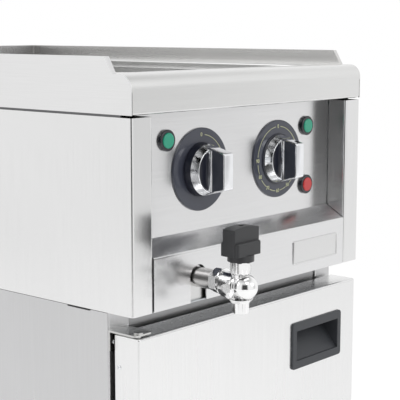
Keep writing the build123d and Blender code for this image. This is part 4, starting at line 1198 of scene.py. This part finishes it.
@dataclass
class Fixings:
    """Screws of the rear panels, the door and the hinge plates, and the rims of punched holes."""

    rear_radius: float = 4.0 * MM
    rear_rise: float = 12.0 * MM
    rear_drop: float = 30.0 * MM
    rear_inset: float = 3.0 * MM
    small_radius: float = 2.6 * MM
    door_inset: float = 6.0 * MM
    door_drops: Sequence[float] = (34.0 * MM, 260.0 * MM, 486.0 * MM)
    hinge_side: float = 7.0 * MM
    hinge_end: float = 13.0 * MM
    hinge_face: float = 2.0 * MM
    perforation_radius: float = 5.0 * MM
    perforation_pitch: float = 30.0 * MM
    perforation_facets: int = 16
    columns: int = 9
    rows: int = 15
    lift_radius: float = 13.0 * MM
    lift_inset: float = 35.0 * MM
    lift_facets: int = 48
    rim: float = 0.35 * MM

    def rear_places(self) -> list[Point]:
        """Places of the screws on the rear panels.

        Returns:
            Six places on the heated unit, then six on the cabinet.
        """
        low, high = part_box("rear_screws")
        bottom = low.z + self.rear_radius
        outer = high.x - self.rear_radius
        inner = outer - self.rear_inset
        unit_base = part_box("back_panel")[0].z
        upper = (high.z - self.rear_radius, unit_base + self.rear_rise)
        head = unit_base - self.rear_drop
        lower = (head, (head + bottom) / 2, bottom)
        return [(x, low.y, z) for z in upper for x in (-outer, 0.0, outer)] + [
            (x, low.y, z) for z in lower for x in (-inner, inner)]

    def door_places(self) -> list[Point]:
        """Places of the screws in the door's left edge."""
        low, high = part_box("door_skin")
        return [(low.x, high.y - self.door_inset, high.z - drop) for drop in self.door_drops]

    def hinge_places(self) -> list[Point]:
        """Places of the screws in the hinge plates.

        Returns:
            Two places on the upper plate, then two on the lower.
        """
        low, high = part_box("hinge_brackets")
        return [(x, high.y - self.hinge_face, z)
                for z in (high.z - self.hinge_end, low.z + self.hinge_end)
                for x in (low.x + self.hinge_side, high.x - self.hinge_side)]

    def perforations(self) -> list[Point]:
        """Places of the small holes in the lift-out plate.

        Returns:
            The places, without those inside the two lift holes.
        """
        low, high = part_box("false_bottom")
        half = (high.y - low.y) / 2
        places = []
        for column in range(self.columns):
            for row in range(self.rows):
                x = (column - (self.columns - 1) / 2) * self.perforation_pitch
                off = (row - (self.rows - 1) / 2) * self.perforation_pitch
                if abs(x) >= self.lift_radius or abs(off) <= half - 2 * self.lift_inset:
                    places.append((x, low.y + half + off, high.z))
        return places

    def build(self, finishes: Finishes) -> None:
        """Args:
            finishes: All finishes.
        """
        trees = RepeatTrees()
        form = screw_form()
        for name, places, facing, radius, body, replaced in (
                ("rear_screw_heads", self.rear_places(), (0.0, 1.0, 0.0), self.rear_radius,
                 Body.CASING, ["rear_screws"]),
                ("door_edge_screws", self.door_places(), (-1.0, 0.0, 0.0), self.small_radius,
                 Body.DOOR, []),
                ("hinge_screws", self.hinge_places(), (0.0, -1.0, 0.0), self.small_radius,
                 Body.CASING, [])):
            heads = trees.apply(name, trees.fixings, places, facing, {
                "Form": form, "Head Radius": radius, "Finish": finishes["plated"]})
            finish_piece(heads, body, "plated", *replaced)
        bpy.data.objects.remove(form)
        low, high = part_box("false_bottom")
        lifts = [(0.0, y, high.z) for y in (low.y + self.lift_inset, high.y - self.lift_inset)]
        for name, places, radius, rim, facets in (
                ("perforation_rims", self.perforations(), self.perforation_radius, self.rim,
                 self.perforation_facets),
                ("lift_hole_rims", lifts, self.lift_radius, 2 * self.rim, self.lift_facets)):
            rims = trees.apply(name, trees.rims, places, (0.0, 0.0, 1.0), {
                "Hole Radius": radius, "Rim Radius": rim, "Facets": facets,
                "Finish": finishes["steel_inner"]})
            finish_piece(rims, Body.PLATE, "steel_inner")


@dataclass
class Seals:
    """Dark strips: painted shade along each cabinet side's top edge under the side panel, and a
    dark line at each end of the apron.
    """

    bead: float = 1.0 * MM
    proud: float = 1.6 * MM
    drop: float = 0.05 * MM
    clip_front: float = 26.0 * MM
    clip_length: float = 33.0 * MM
    clip_height: float = 2.4 * MM
    seam: float = 0.6 * MM
    seam_height: float = 22.0 * MM
    seam_rise: float = 0.5 * MM
    seam_proud: float = 0.06 * MM
    seam_depth: float = 0.5 * MM
    edge_round: float = 0.12 * MM

    def strip(self, low: Point, high: Point) -> BMesh:
        """Straight strip with softened edges, from its lower to its upper corner."""
        outline = [(low[0], low[1]), (high[0], low[1]), (high[0], high[1]), (low[0], high[1])]
        return soften(slab(outline, Lay.Z, low[2], high[2]), self.edge_round, 2)

    def seals(self) -> list[BMesh]:
        """Painted shade along the top edge of each cabinet side: a thin dark line under the side
        panel and a short dark dash.

        Returns:
            The strips.
        """
        strips = []
        for node, side in (("cabinet_side_left", Side.LEFT), ("cabinet_side_right", Side.RIGHT)):
            low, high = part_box(node)
            face = low.x if side is Side.LEFT else high.x
            near, far = sorted((face, face + side * self.proud))
            top = high.z - self.drop
            clip = low.y + self.clip_front
            # Painted shade: a dark line under the side panel's edge and a dark dash for the gap.
            strips += [self.strip((near, low.y, top - self.bead), (far, high.y, top)),
                       self.strip((near, clip, top - self.clip_height),
                                  (far, clip + self.clip_length, top))]
        return strips

    def seams(self) -> list[BMesh]:
        """Dark line at each end of the apron.

        Returns:
            The strips.
        """
        low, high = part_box("worktop")
        base = low.z + self.seam_rise
        return [self.strip((near, low.y - self.seam_proud, base),
                           (near + self.seam, low.y + self.seam_depth, base + self.seam_height))
                for near in (low.x, high.x - self.seam)]

    def build(self, finishes: Finishes) -> None:
        """Args:
            finishes: All finishes.
        """
        for name, strips in (("cabinet_seals", self.seals()), ("apron_seams", self.seams())):
            piece = mesh_object(joined(strips), name, finishes["soft_rubber"])
            finish_piece(piece, Body.CASING, "soft_rubber")


def level_direction(bearing: float) -> Vector:
    """Level direction of a bearing in degrees, anticlockwise from +X."""
    turn = math.radians(bearing)
    return Vector((math.cos(turn), math.sin(turn), 0.0))


@dataclass(frozen=True)
class Softbox:
    """One rectangular lamp, placed by its bearing seen from the object.

    Bearings run anticlockwise from +X, elevations up from the level, both in degrees.
    """

    name: str
    bearing: float
    elevation: float
    distance: float
    width: float
    height: float
    radiance: float

    def build(self, target: Vector) -> None:
        """Makes the lamp.

        Args:
            target: Point that it faces.
        """
        rise = math.radians(self.elevation)
        away = level_direction(self.bearing) * math.cos(rise) + Vector((0.0, 0.0, math.sin(rise)))
        data = bpy.data.lights.new(self.name, "AREA")
        data.shape = "RECTANGLE"
        data.size = self.width
        data.size_y = self.height
        data.energy = self.radiance * math.pi * self.width * self.height
        lamp = add_object(self.name, data)
        lamp.location = target + away * self.distance
        lamp.rotation_euler = (-away).to_track_quat("-Z", "Y").to_euler()


@dataclass
class Studio:
    """Camera, soft light, white backdrop and the plain pale floor.

    Each fade is the pair of values between which one brightness of the room passes to another.
    """

    camera_offset: Point = (-1.0153, -0.798, 0.899)
    heading: float = 48.97
    pitch: float = 8.46
    lens: float = 105.56
    sensor: float = 36.0
    clip: Pair = (0.05, 60.0)
    floor_half: float = 2.6
    floor_tone: Colour = (0.86, 0.86, 0.86)
    floor_roughness: float = 0.9
    floor_specular: float = 0.1
    floor_glow: float = 0.42
    fill: float = 0.62
    backdrop: float = 1.0
    ceiling: float = 0.5
    ceiling_fade: Pair = (0.5, 0.95)
    dark_side: float = 0.06
    dark_bearing: float = 219.0
    dark_fade: Pair = (0.84, 0.97)
    dark_band: Pair = (0.35, 0.7)
    dim_side: float = 0.74
    dim_bearing: float = 310.0
    dim_fade: Pair = (0.961, 0.998)
    target: Point = (0.0, 0.0, 0.75)
    softboxes: tuple[Softbox, ...] = (
        Softbox("key_box", 246.0, 38.0, 3.0, 1.0, 0.8, 2.4),
        Softbox("front_box", 290.0, 18.0, 3.2, 1.1, 0.9, 2.4),
        Softbox("left_box", 150.0, 26.0, 3.4, 1.8, 1.4, 0.9),
        Softbox("top_box", 270.0, 84.0, 2.8, 2.4, 2.4, 0.75),
    )

    def camera(self) -> None:
        """Camera at the photograph's viewing angle, set out from the fascia's front."""
        data = bpy.data.cameras.new("view")
        data.lens = self.lens
        data.sensor_width = self.sensor
        data.sensor_fit = "HORIZONTAL"
        data.clip_start, data.clip_end = self.clip
        camera = add_object("view", data)
        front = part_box("control_fascia")[0].y
        camera.location = Vector((0.0, front, 0.0)) + Vector(self.camera_offset)
        camera.rotation_euler = (math.radians(QUARTER - self.pitch), 0.0,
                                 math.radians(-self.heading))
        bpy.context.scene.camera = camera

    def room(self, graph: Graph) -> NodeSocket:
        """Brightness of the studio that polished metal shows, by direction.

        The backdrop is white, the ceiling is greyer, one narrow side is a little dimmer, and the
        open side of the studio is dark.

        Args:
            graph: Graph of the world.

        Returns:
            Strength of the room.
        """
        direction = graph.add("ShaderNodeTexCoord").outputs["Generated"]
        height = graph.add("ShaderNodeSeparateXYZ", {0: direction}).outputs["Z"]
        upper = self.fade(graph, height, self.ceiling_fade, self.backdrop, self.ceiling)
        level = graph.combine("MULTIPLY", direction, (1.0, 1.0, 0.0))
        level = graph.add("ShaderNodeVectorMath", {0: level}, operation="NORMALIZE").outputs[0]
        side = self.fade(graph, self.facing(graph, level, self.dark_bearing), self.dark_fade,
                         0.0, 1.0)
        band = self.fade(graph, graph.math("ABSOLUTE", height), self.dark_band, 1.0, 0.0)
        shade = graph.math("MULTIPLY", side, band)
        dark = graph.math("SUBTRACT", 1.0, graph.math("MULTIPLY", shade, 1.0 - self.dark_side))
        dim = self.fade(graph, self.facing(graph, direction, self.dim_bearing), self.dim_fade,
                        1.0, self.dim_side)
        return graph.math("MULTIPLY", graph.math("MULTIPLY", upper, dark), dim)

    @staticmethod
    def facing(graph: Graph, direction: NodeSocket, bearing: float) -> NodeSocket:
        """Cosine between a direction and a level bearing."""
        return graph.combine("DOT_PRODUCT", direction, level_direction(bearing), "Value")

    @staticmethod
    def fade(graph: Graph, value: NodeSocket, span: Pair, first: float,
             last: float) -> NodeSocket:
        """Soft change from one level to another while a value crosses a span."""
        inputs = {"Value": value, "From Min": span[0], "From Max": span[1], "To Min": first,
                  "To Max": last}
        return graph.add("ShaderNodeMapRange", inputs,
                         interpolation_type="SMOOTHSTEP").outputs["Result"]

    def world(self) -> None:
        """White backdrop for the camera, the room for polished metal, an even fill for the rest."""
        world = bpy.data.worlds.new("studio")
        world.use_nodes = True
        world.node_tree.nodes.clear()
        graph = Graph(world.node_tree)
        ray = graph.add("ShaderNodeLightPath").outputs
        strength = graph.blend(ray["Is Glossy Ray"], self.fill, self.room(graph))
        seen = graph.math("MAXIMUM", ray["Is Camera Ray"], ray["Is Transmission Ray"])
        light = graph.add("ShaderNodeBackground", {
            "Color": WHITE, "Strength": graph.blend(seen, strength, self.backdrop)})
        graph.add("ShaderNodeOutputWorld", {"Surface": light.outputs[0]})
        bpy.context.scene.world = world

    def floor(self) -> None:
        """Plain pale floor that keeps the object's shadow."""
        bm = bmesh.new()
        bmesh.ops.create_grid(bm, x_segments=2, y_segments=2, size=self.floor_half)
        material, graph, surface = new_material("floor")
        ray = graph.add("ShaderNodeLightPath").outputs
        seen = graph.math("MAXIMUM", ray["Is Camera Ray"], ray["Is Glossy Ray"])
        seen = graph.math("MAXIMUM", seen, ray["Is Transmission Ray"])
        graph.fill(surface, {
            "Base Color": (*self.floor_tone, 1.0), "Roughness": self.floor_roughness,
            "Specular IOR Level": self.floor_specular, "Emission Color": WHITE,
            "Emission Strength": graph.math("MULTIPLY", seen, self.floor_glow)})
        floor = mesh_object(bm, "floor", material)

    def build(self) -> None:
        """Sets the whole stage."""
        self.camera()
        self.world()
        self.floor()
        for softbox in self.softboxes:
            softbox.build(Vector(self.target))
        bpy.context.scene.view_settings.view_transform = "Standard"


def main() -> None:
    """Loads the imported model, dresses it and sets the stage."""
    logging.basicConfig(level=logging.INFO, format="%(name)s: %(message)s")
    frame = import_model()
    Studio().build()
    finishes = Finishes()
    finishes.dress(frame["nodes"])
    Dial("switch_dial", "switch_scale", [(8.0, 84.0)], {0.0: "0", 90.0: "1"}).build(finishes)
    thermostat_dial().build(finishes)
    Knob("switch_knob", "switch_knob_inserts", Body.SWITCH).build(finishes)
    Knob("thermostat_knob", "thermostat_knob_inserts", Body.THERMOSTAT).build(finishes)
    Nameplate().build(finishes)
    GlandNut().build(finishes)
    Fixings().build(finishes)
    Seals().build(finishes)


if __name__ == "__main__":
    main()
